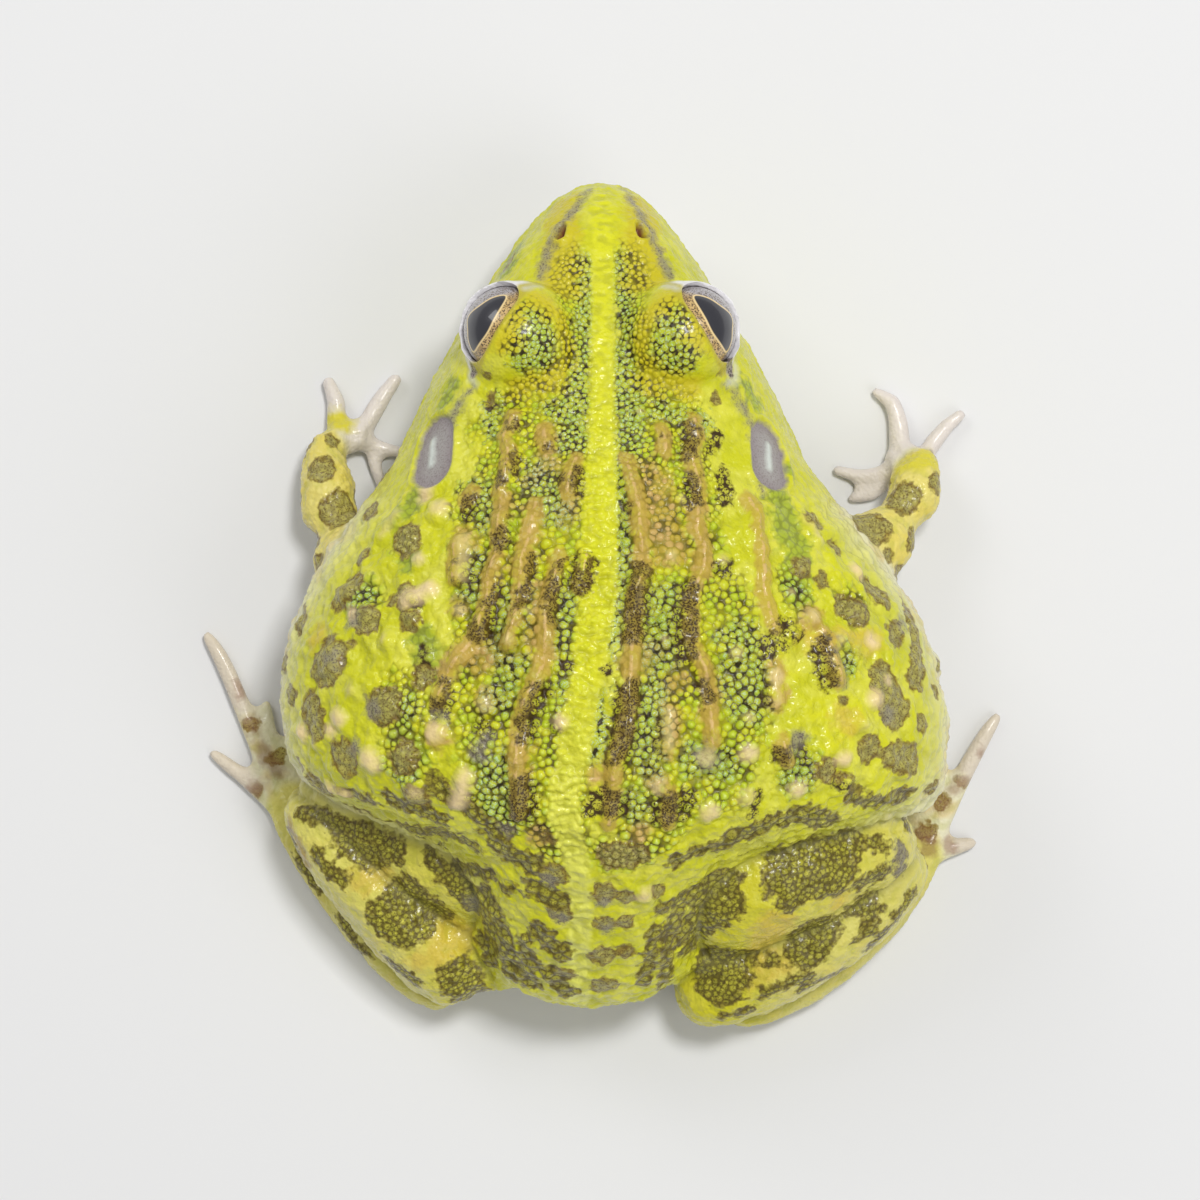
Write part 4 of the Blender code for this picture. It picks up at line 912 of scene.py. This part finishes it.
ORANGE = [[(378, 873, 2.0), (360, 880, 1.6)], [(453, 936, 2.8), (440, 950, 2.2)], [(420, 960, 1.2)],
          [(775, 925, 2.4), (762, 950, 2.2)], [(752, 976, 1.6), (790, 960, 1.2)], [(842, 900, 1.2)],
          [(806, 640, 1.0), (870, 640, 1.6)], [(846, 720, 1.6)], [(318, 636, 1.2)]]
PALE = [
    [(429, 590, 1.0), (408, 600, 0.9)], [(436, 733, 0.9)], [(339, 718, 1.0)], [(372, 760, 1.3)],
    [(332, 786, 0.7), (346, 793, 0.7)], [(465, 777, 0.9), (457, 804, 0.8)], [(561, 722, 0.6)],
    [(416, 790, 0.7)], [(660, 787, 0.7)], [(748, 752, 0.9)], [(746, 796, 0.7)], [(798, 789, 0.8)],
    [(811, 617, 0.7)], [(874, 699, 0.9)], [(856, 571, 0.8)], [(843, 759, 0.8)], [(709, 811, 0.9)],
    [(301, 732, 0.9)], [(330, 729, 0.7)], [(777, 678, 0.5)], [(889, 679, 0.4)], [(440, 509, 0.8)],
    [(643, 893, 0.8)], [(430, 480, 1.0), (424, 496, 0.8)], [(872, 640, 0.8)], [(352, 612, 0.6)],
    [(420, 560, 0.6)],
]
GREY = [
    [(590, 190, 0.4), (572, 212, 0.6), (553, 236, 0.7)],
    [(625, 190, 0.4), (640, 214, 0.6), (652, 236, 0.7)], [(652, 236, 0.6), (668, 272, 0.7)],
    [(550, 244, 0.7), (540, 276, 0.6)], [(354, 618, 1.1)], [(373, 709, 1.3)], [(356, 748, 0.9)],
    [(793, 747, 1.0), (800, 738, 0.8)], [(335, 660, 1.1)], [(889, 714, 1.0)],
    [(901, 850, 1.2), (900, 868, 1.0)], [(440, 716, 0.8)], [(480, 752, 1.2), (486, 742, 1.0)],
    [(832, 645, 0.6), (843, 684, 0.6)], [(901, 623, 0.8)], [(505, 830, 0.9)], [(706, 757, 1.4)],
    [(472, 386, 0.4), (464, 396, 0.5), (455, 412, 0.6), (451, 430, 0.4)],
    [(728, 386, 0.4), (738, 398, 0.5), (747, 414, 0.6), (753, 436, 0.5), (762, 491, 0.4)],
    [(548, 880, 0.9)], [(560, 918, 0.8)], [(604, 902, 0.8)], [(607, 930, 0.7)], [(474, 904, 1.2)],
]
MOSS = [
    [(517, 244, 2.2), (508, 266, 2.0)], [(688, 244, 2.2), (699, 266, 2.0)],
    [(546, 256, 0.9), (558, 276, 0.9)], [(656, 256, 0.9), (664, 276, 0.9)],
    [(452, 386, 1.1), (446, 404, 1.0)], [(748, 388, 1.1), (756, 404, 1.0)],
    [(780, 500, 1.8), (792, 540, 2.0)], [(796, 560, 1.8), (800, 600, 1.6)], [(786, 470, 1.0)],
    [(414, 500, 1.4), (396, 520, 1.2)], [(424, 640, 1.6), (430, 670, 1.4)], [(410, 560, 1.2)],
    [(366, 590, 1.6), (352, 606, 1.4)], [(400, 736, 1.6), (420, 752, 1.4)], [(464, 600, 1.4)],
]
RUST = [
    [(239, 686, 0.7), (241, 694, 0.7)], [(252, 722, 0.9), (254, 732, 0.8)],
    [(264, 750, 0.9), (276, 768, 1.1)], [(255, 790, 1.1)], [(290, 826, 0.9), (306, 862, 1.0)],
    [(982, 752, 0.6)], [(964, 780, 0.7), (954, 790, 0.7)], [(942, 804, 1.1)],
    [(925, 832, 1.2), (930, 850, 0.9)], [(950, 846, 0.9)], [(296, 436, 0.6)], [(300, 520, 0.8)],
]
WRIST = [[(330, 424, 1.7), (356, 418, 1.5)], [(905, 462, 1.7), (930, 458, 1.6)]]
PALE_TOES = [
    [(197, 630, 2.5), (225, 668, 2.5), (240, 700, 1.8)],
    [(205, 750, 2.3), (232, 768, 2.2), (244, 782, 1.6)],
    [(1003, 712, 2.5), (985, 745, 2.5), (972, 768, 1.8)], [(984, 842, 2.3), (962, 842, 1.6)],
]
OCHRE = [
    [(563, 205, 2.0), (558, 285, 2.6)], [(642, 205, 2.0), (646, 280, 2.6)],
    [(512, 312, 1.6), (506, 340, 1.5)],
    [(540, 300, 1.6), (562, 320, 1.2), (568, 350, 1.0), (556, 380, 1.4), (520, 388, 1.4)],
    [(668, 300, 1.6), (646, 320, 1.2), (640, 350, 1.0), (652, 380, 1.4), (688, 388, 1.4)],
    [(694, 312, 1.6), (701, 340, 1.5)],
]
LAVENDER = [
    [(540, 286, 0.3), (526, 288, 0.4)], [(663, 286, 0.3), (677, 288, 0.4)],
    [(470, 366, 0.35), (470, 378, 0.5), (476, 384, 0.35)],
    [(735, 366, 0.35), (735, 379, 0.5), (729, 384, 0.35)],
]
CORNER = [
    [(476, 362, 0.6), (474, 369, 0.6), (473, 375, 0.3)],
    [(728, 362, 0.6), (730, 369, 0.6), (731, 375, 0.3)],
]
DRAWN = {
    "corner": CORNER, "dark": DARK, "spot": SPOTS, "netted": NETTED, "band": BANDS, "tan": TAN,
    "orange": ORANGE, "pale": PALE, "grey": GREY, "moss": MOSS, "ochre": OCHRE, "rust": RUST,
    "wrist": WRIST, "pale_toes": PALE_TOES, "lavender": LAVENDER,
}
marks = {name: depth_under(lines) for name, lines in DRAWN.items()}
marks.update({"stripe": stripe, "granular": granular, "fold": FOLD_HALF - from_fold, "wart": wart_depth,
              "ear": ear_depth, "streak": ear_streak, "nostril": nostril_depth})
print("kinds of mark:", list(marks))

# %% [markdown]
# The photograph doesn't show the low flanks and the outsides of the limbs. On this species the same ringed
# spots go on there, a few millimetres apart, and the belly and throat are plain cream. The unseen spots are
# drawn by lot from the corners of the skin, with a fixed seed, so each run gives the same animal.

# %% Spots where the photograph doesn't show the skin
SPOT_SPACING = 5.2
SPOT_HALF = (1.0, 2.1)
SPOT_LOW, SPOT_STEEP = 4.0, (-0.6, 0.0)
SPOT_CLEAR = 1.6  # mm from the marks that the photograph shows

steep = (even_normals[:, 2] > SPOT_STEEP[0]) & (even_normals[:, 2] < SPOT_STEEP[1])
steep &= points[:, 2] > SPOT_LOW
steep &= (kept["digits"] < 0.1) & (ear_depth < -1.5) & (kept["near_lids"] < 0.1) & (mouth < 0.1)
choices = numpy.flatnonzero(steep).tolist()
LOT.shuffle(choices)
unseen = []
for i in choices:
    place = points[i]
    clear = marks["spot"][i] < -SPOT_CLEAR and marks["netted"][i] < -SPOT_CLEAR
    if clear and all(numpy.abs(place - p).max() > SPOT_SPACING for p, _ in unseen):
        unseen.append((place, LOT.uniform(*SPOT_HALF)))
marks["spot"] = numpy.maximum(marks["spot"], depth_in([[one] for one in unseen]))
print("unseen spots:", len(unseen))

# %% [markdown]
# A few areas aren't drawn but follow from the form: the digits, the belly, the pale low flanks, the beads
# and the margins of the lids. They are kept on the skin in the same way. Over the vent the back is as green
# as elsewhere, so the rump is left out of the flanks.

# %% Areas that follow from the form
BELLY_TURN = (-0.35, -0.8)
FLANK_HEIGHT = (29.0, 13.0)
RUMP_BACK, RUMP_SIDE = (28.0, 40.0), (24.0, 16.0)
LOW_BELLY = (5.0, 2.5)
REAR_BACK = (5.0, 40.0)

rump = ramp(points[:, 1], *RUMP_BACK) * ramp(numpy.abs(points[:, 0]), *RUMP_SIDE)
lid_edge = numpy.full(COUNT, FAR)
lower_lid = numpy.zeros(COUNT)
for side in (1, -1):
    out, along, across = (numpy.array(v) for v in slit_axes(side))
    offset = points - numpy.array(eye_centre(side))
    tall = numpy.where(offset @ across > 0, LID_HANG, SLIT[1])
    oval = numpy.hypot(offset @ along / SLIT[0], offset @ across / tall)
    beyond = (oval - 1) * tall + numpy.where(offset @ out > -1.0, 0, FAR)
    close = numpy.linalg.norm(offset, axis=1) < LID_RADIUS + 1.6
    lid_edge[close] = numpy.minimum(lid_edge[close], beyond[close])
    lower_lid[close] = ramp((offset @ across)[close], 0.6, -0.6)
low_side = ramp(points[:, 2], *FLANK_HEIGHT)
areas = {
    "fingers": kept["hands"] * (1 - kept["arms"]), "toes": kept["digits"] * kept["feet"],
    "feet": kept["feet"], "arms": kept["arms"],
    "belly": numpy.maximum(ramp(even_normals[:, 2], *BELLY_TURN),
                           ramp(points[:, 2], *LOW_BELLY) * (1 - kept["limbs"])),
    "flank": low_side * (1 - 0.5 * kept["legs"]) * (1 - kept["head"]) * (1 - rump),
    "mouth": mouth, "lid_edge": lid_edge, "lower_lid": lower_lid, "creases": kept["creases"],
    "legs": kept["legs"], "rear": ramp(points[:, 1], *REAR_BACK), "foldlet": foldlet, "pebble": pebble,
    "bead_gap": bead_gap, "bead_first": bead_cell[:, 0], "bead_second": bead_cell[:, 1],
}
for name, values in {**marks, **areas}.items():
    fused.attributes.new(name, "FLOAT", "POINT").data.foreach_set("value", values.astype(numpy.float32))
print("areas:", list(areas))

# %% [markdown]
# Living frog skin is thin, wet and glandular, with a film of mucus over it. A wet coat over a soft rough
# base gives it many small gleams. Dark pigment gathers in the gaps between the beads and along the
# edges of the spots, in fine specks, and all the gaps between the beads also get a painted shade.
# Each kind of mark is laid over the last, and noise breaks its edge.

# %% Wet glandular frog skin
hide, tree, shader = new_material("wet_glandular_frog_skin")
SPECKLE = 0.24 * MM  # real pigment cells are finer, but would not show
CLOUD = 0.7 * MM
RAGGED = 1.3 * MM
BLOTCH = 9 * MM
PATCH = 3.6 * MM

place = add(tree, "ShaderNodeTexCoord", {}).outputs["Object"]
read = {name: add(tree, "ShaderNodeAttribute", {}, attribute_name=name).outputs["Fac"]
        for name in {**marks, **areas}}
PATTERNS = {"speckle": SPECKLE, "cloud": CLOUD, "ragged": RAGGED, "blotch": BLOTCH, "patch": PATCH}
patterns = {name: add(tree, "ShaderNodeTexNoise", {"Vector": place, "Scale": 1 / size, "Detail": 2.0})
            for name, size in PATTERNS.items()}

# Each mask reads a depth, adds ragged noise of up to the first number, and ramps from the second number to
# the third.
EDGES_OF_MARKS = {
    "stripe": ("stripe", 0.9, -0.35, 0.35), "dark": ("dark", 1.2, -0.3, 0.3),
    "spot": ("spot", 1.0, -0.2, 0.2), "spot_core": ("spot", 1.6, 0.1, 0.7),
    "netted": ("netted", 1.8, -0.4, 0.3), "netted_core": ("netted", 1.6, 0.1, 0.8),
    "band": ("band", 2.4, -0.8, 0.6), "tan": ("tan", 1.6, -0.7, 0.4), "orange": ("orange", 2.0, -1.0, 0.6),
    "pale": ("pale", 0.5, -0.7, 0.5), "grey": ("grey", 1.2, -0.6, 0.5), "moss": ("moss", 2.0, -0.7, 0.5),
    "ochre": ("ochre", 2.0, -1.0, 0.6), "lavender": ("lavender", 0.5, -0.5, 0.4),
    "granular": ("granular", 2.4, -0.9, 0.8), "fold": ("fold", 0.9, -0.1, 0.35),
    "crest": ("fold", 0.2, 0.88, 1.06), "ear": ("ear", 0.4, -0.25, 0.3),
    "corner": ("corner", 0.3, -0.25, 0.1), "ear_core": ("ear", 0.5, 0.4, 2.0),
    "streak": ("streak", 0.3, -0.45, 0.25), "nostril": ("nostril", 0.2, -0.3, 0.1),
    "rust": ("rust", 1.0, -0.5, 0.4), "wrist": ("wrist", 1.0, -0.8, 0.6),
    "pale_toes": ("pale_toes", 1.0, -1.2, 0.8), "wart": ("wart", 0.3, 0.1, 0.9),
}
centred = add(tree, "ShaderNodeMath", {0: patterns["ragged"], 1: 0.5}, operation="SUBTRACT")
mask = dict(read)
for name, (depth, wobble, start, end) in EDGES_OF_MARKS.items():
    moved = add(tree, "ShaderNodeMath", {0: centred, 1: wobble * 2, 2: read[depth]},
                operation="MULTIPLY_ADD")
    mask[name] = add(tree, "ShaderNodeMapRange", {"Value": moved, "From Min": start, "From Max": end})

# Ramps of single patterns: what is read, where the ramp starts, and where it ends.
RAMPS = {
    "blotch": (patterns["blotch"], 0.4, 0.6), "patch": (patterns["patch"], 0.45, 0.6),
    "bare_patch": (patterns["patch"], 0.5, 0.38), "wide_gap": (read["bead_gap"], 0.34, 0.04),
    "broad_gap": (read["bead_gap"], 0.42, 0.06), "bead_top": (read["bead_gap"], 0.45, 0.9),
    "valley": (read["foldlet"], 0.05, -0.35), "pebble_hollow_painted_shade": (read["pebble"], 0.0, -0.4),
    "speck": (patterns["speckle"], 0.49, 0.55), "few_specks": (patterns["speckle"], 0.53, 0.6),
    "cloud": (patterns["cloud"], 0.44, 0.54),
    "green_bead": (read["bead_first"], 0.45, 0.7), "tan_bead": (read["bead_second"], 0.45, 0.65),
    "bright_bead": (read["bead_second"], 0.5, 0.8), "dim_bead": (read["bead_first"], 0.5, 0.3),
    "lid": (read["lid_edge"], 0.95, 0.6), "lid_line": (read["lid_edge"], 0.16, 0.0),
}
for name, (pattern, start, end) in RAMPS.items():
    mask[name] = add(tree, "ShaderNodeMapRange", {"Value": pattern, "From Min": start, "From Max": end})

# Masks that are the product of two others. A minus sign takes one less the mask.
PRODUCTS = {
    "flank_patch": ("flank", "bare_patch"), "cream_patch": ("patch", "-granular"),
    "green_granules": ("green_bead", "granular"), "tan_beads": ("tan_bead", "tan"),
    "band_glint": ("band", "few_specks"), "gap_shade": ("wide_gap", "granular"),
    "patch_gap": ("gap_shade", "patch"), "band_gap": ("wide_gap", "band"),
    "dark_gap": ("band_gap", "cloud"), "bare_fold": ("fold", "-stripe"), "dark_fold": ("dark", "fold"),
    "dark_speck": ("dark_fold", "speck"), "dark_net": ("dark", "wide_gap"),
    "dark_off": ("dark", "few_specks"), "moss_gap": ("moss", "wide_gap"),
    "spot_rim": ("spot", "-spot_core"), "spot_gap": ("spot", "broad_gap"),
    "spot_speck": ("spot", "few_specks"), "net_rim": ("netted", "-netted_core"),
    "net_gap": ("netted", "broad_gap"), "net_speck": ("netted", "few_specks"),
    "net_top": ("netted", "bead_top"), "net_light": ("net_top", "bright_bead"),
    "stripe_rear": ("stripe", "rear"), "green_top": ("bead_top", "granular"),
    "rear_beads": ("green_top", "rear"), "spot_top": ("spot", "bead_top"),
    "dark_top": ("dark", "bead_top"), "net_dim": ("netted", "dim_bead"),
    "stripe_valley_painted_shade": ("stripe", "valley"), "grey_speck": ("grey", "few_specks"),
    "broken_crest": ("crest", "cloud"), "lit_crest": ("broken_crest", "-dark"),
    "bare_wart": ("wart", "-spot"), "lower_margin": ("lid", "lower_lid"),
    "lower_line": ("lid_line", "lower_lid"), "toe_skin": ("pale_toes", "feet"),
    "ear_speck": ("ear", "few_specks"), "corner_speck": ("corner", "speck"),
}
for name, (first, second) in PRODUCTS.items():
    other = mask[second.lstrip("-")]
    if second.startswith("-"):
        other = add(tree, "ShaderNodeMath", {0: 1.0, 1: other}, operation="SUBTRACT")
    mask[name] = add(tree, "ShaderNodeMath", {0: mask[first], 1: other}, operation="MULTIPLY")

# Layers of colour, from the ground up: the mask, the strength of the layer, and its colour.
LAYERS = (
    ("blotch", 1.0, "#C8C91A"), ("cream_patch", 0.4, "#E2DE62"), ("flank", 0.95, "#E6E1C2"),
    ("flank_patch", 0.6, "#D8C07A"), ("arms", 0.75, "#DFCD44"), ("legs", 0.5, "#D6C82A"),
    # The hollows between the pebbly lumps of the relief are darkened: painted shade.
    ("orange", 0.65, "#D2B446"), ("pebble_hollow_painted_shade", 0.3, "#ADAF1E"), ("moss", 0.85, "#9DAE30"),
    ("moss_gap", 0.5, "#66682E"), ("green_granules", 0.6, "#A8C424"), ("green_top", 0.65, "#CBD83A"),
    ("rear_beads", 0.7, "#CCE096"), ("tan", 0.85, "#BFA144"), ("tan_beads", 0.6, "#CBA66E"),
    ("band", 0.4, "#97AC3C"), ("band_glint", 0.6, "#B5D3B4"), ("ochre", 1.0, "#CBBE1E"),
    # The even darkening of all bead gaps is painted shade; the darker gaps in patches and bands are
    # pigment.
    ("gap_shade", 0.6, "#857F08"), ("patch_gap", 0.8, "#443608"), ("dark_gap", 1.0, "#2E2604"),
    # The valleys between the fine wrinkles of the stripe are darkened: painted shade.
    ("stripe", 0.8, "#DCDB20"), ("stripe_rear", 0.6, "#E6E67C"), ("stripe_valley_painted_shade", 0.55, "#B0B024"),
    ("bare_fold", 0.75, "#BC9F40"), ("dark", 0.35, "#857A2C"), ("dark_top", 0.5, "#A79B36"),
    ("dark_net", 1.0, "#3A2A08"), ("dark_off", 1.0, "#44320E"), ("dark_fold", 0.7, "#86722C"),
    ("dark_speck", 1.0, "#44320F"), ("spot", 0.85, "#AEA042"), ("spot_top", 0.6, "#C6B84A"),
    ("spot_rim", 0.65, "#694818"), ("spot_gap", 0.5, "#604818"), ("spot_core", 0.35, "#9A9A66"),
    ("spot_speck", 0.7, "#5E4720"), ("netted", 0.9, "#A9A332"), ("net_light", 1.0, "#D8D24C"),
    ("net_dim", 0.55, "#857E28"), ("net_rim", 0.65, "#6E5520"), ("net_gap", 0.75, "#4A3A0E"),
    ("net_speck", 0.6, "#44340E"), ("grey", 0.75, "#8F8874"), ("grey_speck", 0.75, "#5C5046"),
    ("lit_crest", 0.7, "#DDB97A"), ("bare_wart", 0.5, "#E2D085"), ("pale", 0.9, "#EDD3A0"),
    # The creases of the folded legs are darkened: painted shade where the legs lie against the body.
    ("creases", 0.4, "#7F7B4C"), ("belly", 1.0, "#E6E2CE"), ("fingers", 1.0, "#DFD6CE"),
    ("toe_skin", 1.0, "#D8CCB8"), ("wrist", 1.0, "#D6CB3C"), ("rust", 0.55, "#8C6048"),
    ("ear", 1.0, "#948A8A"), ("ear_core", 0.5, "#ABA9A2"), ("ear_speck", 0.4, "#6E625E"),
    ("streak", 0.85, "#D5DCD3"), ("lid", 1.0, "#BDB12C"), ("lid_line", 1.0, "#D5CB9A"),
    ("lavender", 0.6, "#D2D4C8"), ("lower_margin", 1.0, "#EFEEEE"), ("lower_line", 1.0, "#E2E0E2"),
    # The mouth line is darkened: painted shade in its groove.
    ("corner", 1.0, "#9A8E86"), ("corner_speck", 1.0, "#4E443C"), ("mouth", 1.0, "#8D8B55"),
    # The nostril pits are painted dark brown: painted shade in the open holes.
    ("nostril", 1.0, "#7B4A2C"),
)
tone = linear("#D2D11A")  # the ground colour
for name, strength, colour in LAYERS:
    factor = add(tree, "ShaderNodeMath", {0: mask[name], 1: strength}, operation="MULTIPLY")
    tone = add(tree, "ShaderNodeMix", {"Factor": factor, "A": tone, "B": linear(colour)}, data_type="RGBA")
connect(tree, shader, {"Base Color": tone})
print("layers of colour:", len(LAYERS))

# %% [markdown]
# What is finer than the mesh is raised by a bump, in real heights: the grain of the skin, which is a few
# hundredths of a millimetre deep, and soft unevenness between the beads.

# %% The finest relief of the skin
GRAIN = 0.45 * MM
grain = add(tree, "ShaderNodeTexVoronoi", {"Vector": place, "Scale": 1 / GRAIN})
HEIGHTS = ((grain.outputs["Distance"], -0.07), (patterns["cloud"], 0.12), (patterns["speckle"], 0.03))
height = 0.0
for pattern, most in HEIGHTS:
    height = add(tree, "ShaderNodeMath", {0: pattern, 1: most, 2: height}, operation="MULTIPLY_ADD")
bump = add(tree, "ShaderNodeBump", {"Height": height, "Distance": MM, "Strength": 1.0})
connect(tree, shader, {"Normal": bump, "Roughness": 0.4, "IOR": 1.33, "Coat Weight": 0.6,
                       "Coat Roughness": 0.15, "Coat IOR": 1.34})
skin.data.materials.clear()
skin.data.materials.append(hide)
skin.data.shade_smooth()
print("bump of", max(most for _, most in HEIGHTS), "mm at most")

# %% [markdown]
# The eye is a wet ball. Its large pupil is a slanting dark shape with a thin golden line round it, and the
# iris beyond is gold with fine brown specks, greyer towards its rim. A museum paints this on the back of
# clear glass. Here each corner of a fine ball is told how far it lies from the edge of the pupil, in
# millimetres, and the material does the painting. The outline is drawn on the left eye in pixels of the
# photograph, and the right eye mirrors it.

# %% Eyeballs
PUPIL = [
    (505, 296), (493, 298), (480, 306), (468.5, 317), (468, 330), (469, 342), (474, 351), (485, 335),
    (494, 318), (503, 303),
]
BALL_TURNS, BALL_ROWS = 192, 128
OUTLINE_STEPS = 8


def on_ball(x, y):
    """The direction from the middle of the left eye to the place on it that a pixel shows."""
    ray = pixel_ray(x, y)
    to_eye = eye_centre(1) - camera_place
    ahead = to_eye.dot(ray)
    aside = to_eye.length_squared - ahead ** 2
    reach = ahead - math.sqrt(max(EYE_RADIUS ** 2 - aside, 0))
    return (camera_place + ray * reach - eye_centre(1)).normalized()


def smooth_loop(outline, steps):
    """A closed outline with a smooth curve through its points."""
    curve = []
    for i in range(len(outline)):
        a, b, c, d = (numpy.array(outline[(i + k) % len(outline)], float) for k in (-1, 0, 1, 2))
        for t in numpy.arange(steps) / steps:
            curve.append(0.5 * (2 * b + (c - a) * t + (2 * a - 5 * b + 4 * c - d) * t ** 2
                                + (3 * b - a - 3 * c + d) * t ** 3))
    return numpy.array(curve)


def depth_in_loop(at, loop):
    """How deep flat places lie inside a closed outline, negative outside it."""
    inside = numpy.zeros(len(at), bool)
    away = numpy.full(len(at), numpy.inf)
    for a, b in zip(loop, numpy.roll(loop, -1, axis=0)):
        along = b - a
        t = numpy.clip(((at - a) @ along) / (along @ along), 0, 1)
        away = numpy.minimum(away, numpy.linalg.norm(at - a - t[:, None] * along, axis=1))
        crosses = (a[1] > at[:, 1]) != (b[1] > at[:, 1])
        with numpy.errstate(divide="ignore", invalid="ignore"):
            reach = a[0] + (at[:, 1] - a[1]) * along[0] / along[1]
        inside ^= crosses & (at[:, 0] < reach)
    return numpy.where(inside, away, -away)


pupil_places = [on_ball(x, y) for x, y in PUPIL]
pupil_ahead = sum(pupil_places, Vector()).normalized()
pupil_front = pupil_ahead.cross(Vector((0, 0, 1))).normalized()
pupil_up = pupil_front.cross(pupil_ahead)


def unrolled(away):
    """Directions from the middle of the left eye as flat places in millimetres on a map of the ball."""
    ahead, front, up = (away @ numpy.array(v) for v in (pupil_ahead, pupil_front, pupil_up))
    turn = numpy.arccos(numpy.clip(ahead, -1, 1)) * EYE_RADIUS
    flat = numpy.maximum(numpy.hypot(front, up), 1e-9)
    return numpy.stack([front / flat * turn, up / flat * turn], axis=1)


pupil_loop = smooth_loop(unrolled(numpy.array(pupil_places)), OUTLINE_STEPS)
eyeballs = {}
for name, side in (("left", 1), ("right", -1)):
    ball = bmesh.new()
    bmesh.ops.create_uvsphere(ball, u_segments=BALL_TURNS, v_segments=BALL_ROWS, radius=EYE_RADIUS * MM)
    mesh = bpy.data.meshes.new(f"eyeball_{name}")
    ball.to_mesh(mesh)
    ball.free()
    offset = points_of(mesh)
    depth = depth_in_loop(unrolled(offset / EYE_RADIUS * (side, 1, 1)), pupil_loop)
    mesh.attributes.new("pupil", "FLOAT", "POINT").data.foreach_set("value", depth.astype(numpy.float32))
    upward = offset @ numpy.array(slit_axes(side)[2])
    mesh.attributes.new("upward", "FLOAT", "POINT").data.foreach_set("value", upward.astype(numpy.float32))
    place_points(mesh, offset + numpy.array(eye_centre(side)))
    mesh.shade_smooth()
    eyeballs[name] = bpy.data.objects.new(f"eyeball_{name}", mesh)
    bpy.context.scene.collection.objects.link(eyeballs[name])
print("eyeballs:", list(eyeballs), "pupil of", numpy.ptp(pupil_loop, axis=0).round(1), "mm")

# %% [markdown]
# The cornea is clear, smooth and always wet, so it mirrors the studio sharply. That gives the eye its life.

# %% Painted glass eye
glass_eye, eye_tree, eye_shader = new_material("painted_glass_eye")
eye_place = add(eye_tree, "ShaderNodeTexCoord", {}).outputs["Object"]
pupil_depth = add(eye_tree, "ShaderNodeAttribute", {}, attribute_name="pupil").outputs["Fac"]
upward_side = add(eye_tree, "ShaderNodeAttribute", {}, attribute_name="upward").outputs["Fac"]
IRIS_FLECK = 0.2 * MM
IRIS_CLOUD = 1.2 * MM
fleck = add(eye_tree, "ShaderNodeTexNoise", {"Vector": eye_place, "Scale": 1 / IRIS_FLECK, "Detail": 2.0})
cloud = add(eye_tree, "ShaderNodeTexNoise", {"Vector": eye_place, "Scale": 1 / IRIS_CLOUD, "Detail": 2.0})
EYE_LAYERS = (
    (cloud, 0.42, 0.6, "#A98A50"), (upward_side, 1.2, 0.2, "#A19CA0"), (fleck, 0.5, 0.58, "#5A4630"),
    (pupil_depth, -0.3, -0.16, "#E9CE93"), (pupil_depth, -0.06, 0.06, "#26262E"),
)
eye_tone = linear("#D0B074")
for pattern, start, end, colour in EYE_LAYERS:
    where = add(eye_tree, "ShaderNodeMapRange", {"Value": pattern, "From Min": start, "From Max": end})
    eye_tone = add(eye_tree, "ShaderNodeMix", {"Factor": where, "A": eye_tone, "B": linear(colour)},
                   data_type="RGBA")
connect(eye_tree, eye_shader, {"Base Color": eye_tone, "Roughness": 0.3, "Coat Weight": 1.0,
                               "Coat Roughness": 0.03})
for piece in eyeballs.values():
    piece.data.materials.append(glass_eye)
print("layers of the eye:", len(EYE_LAYERS))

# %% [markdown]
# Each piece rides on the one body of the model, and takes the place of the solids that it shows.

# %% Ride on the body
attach(skin, "root")
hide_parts(*flesh)
for name, piece in eyeballs.items():
    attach(piece, "root")
    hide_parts(f"eye_{name}")
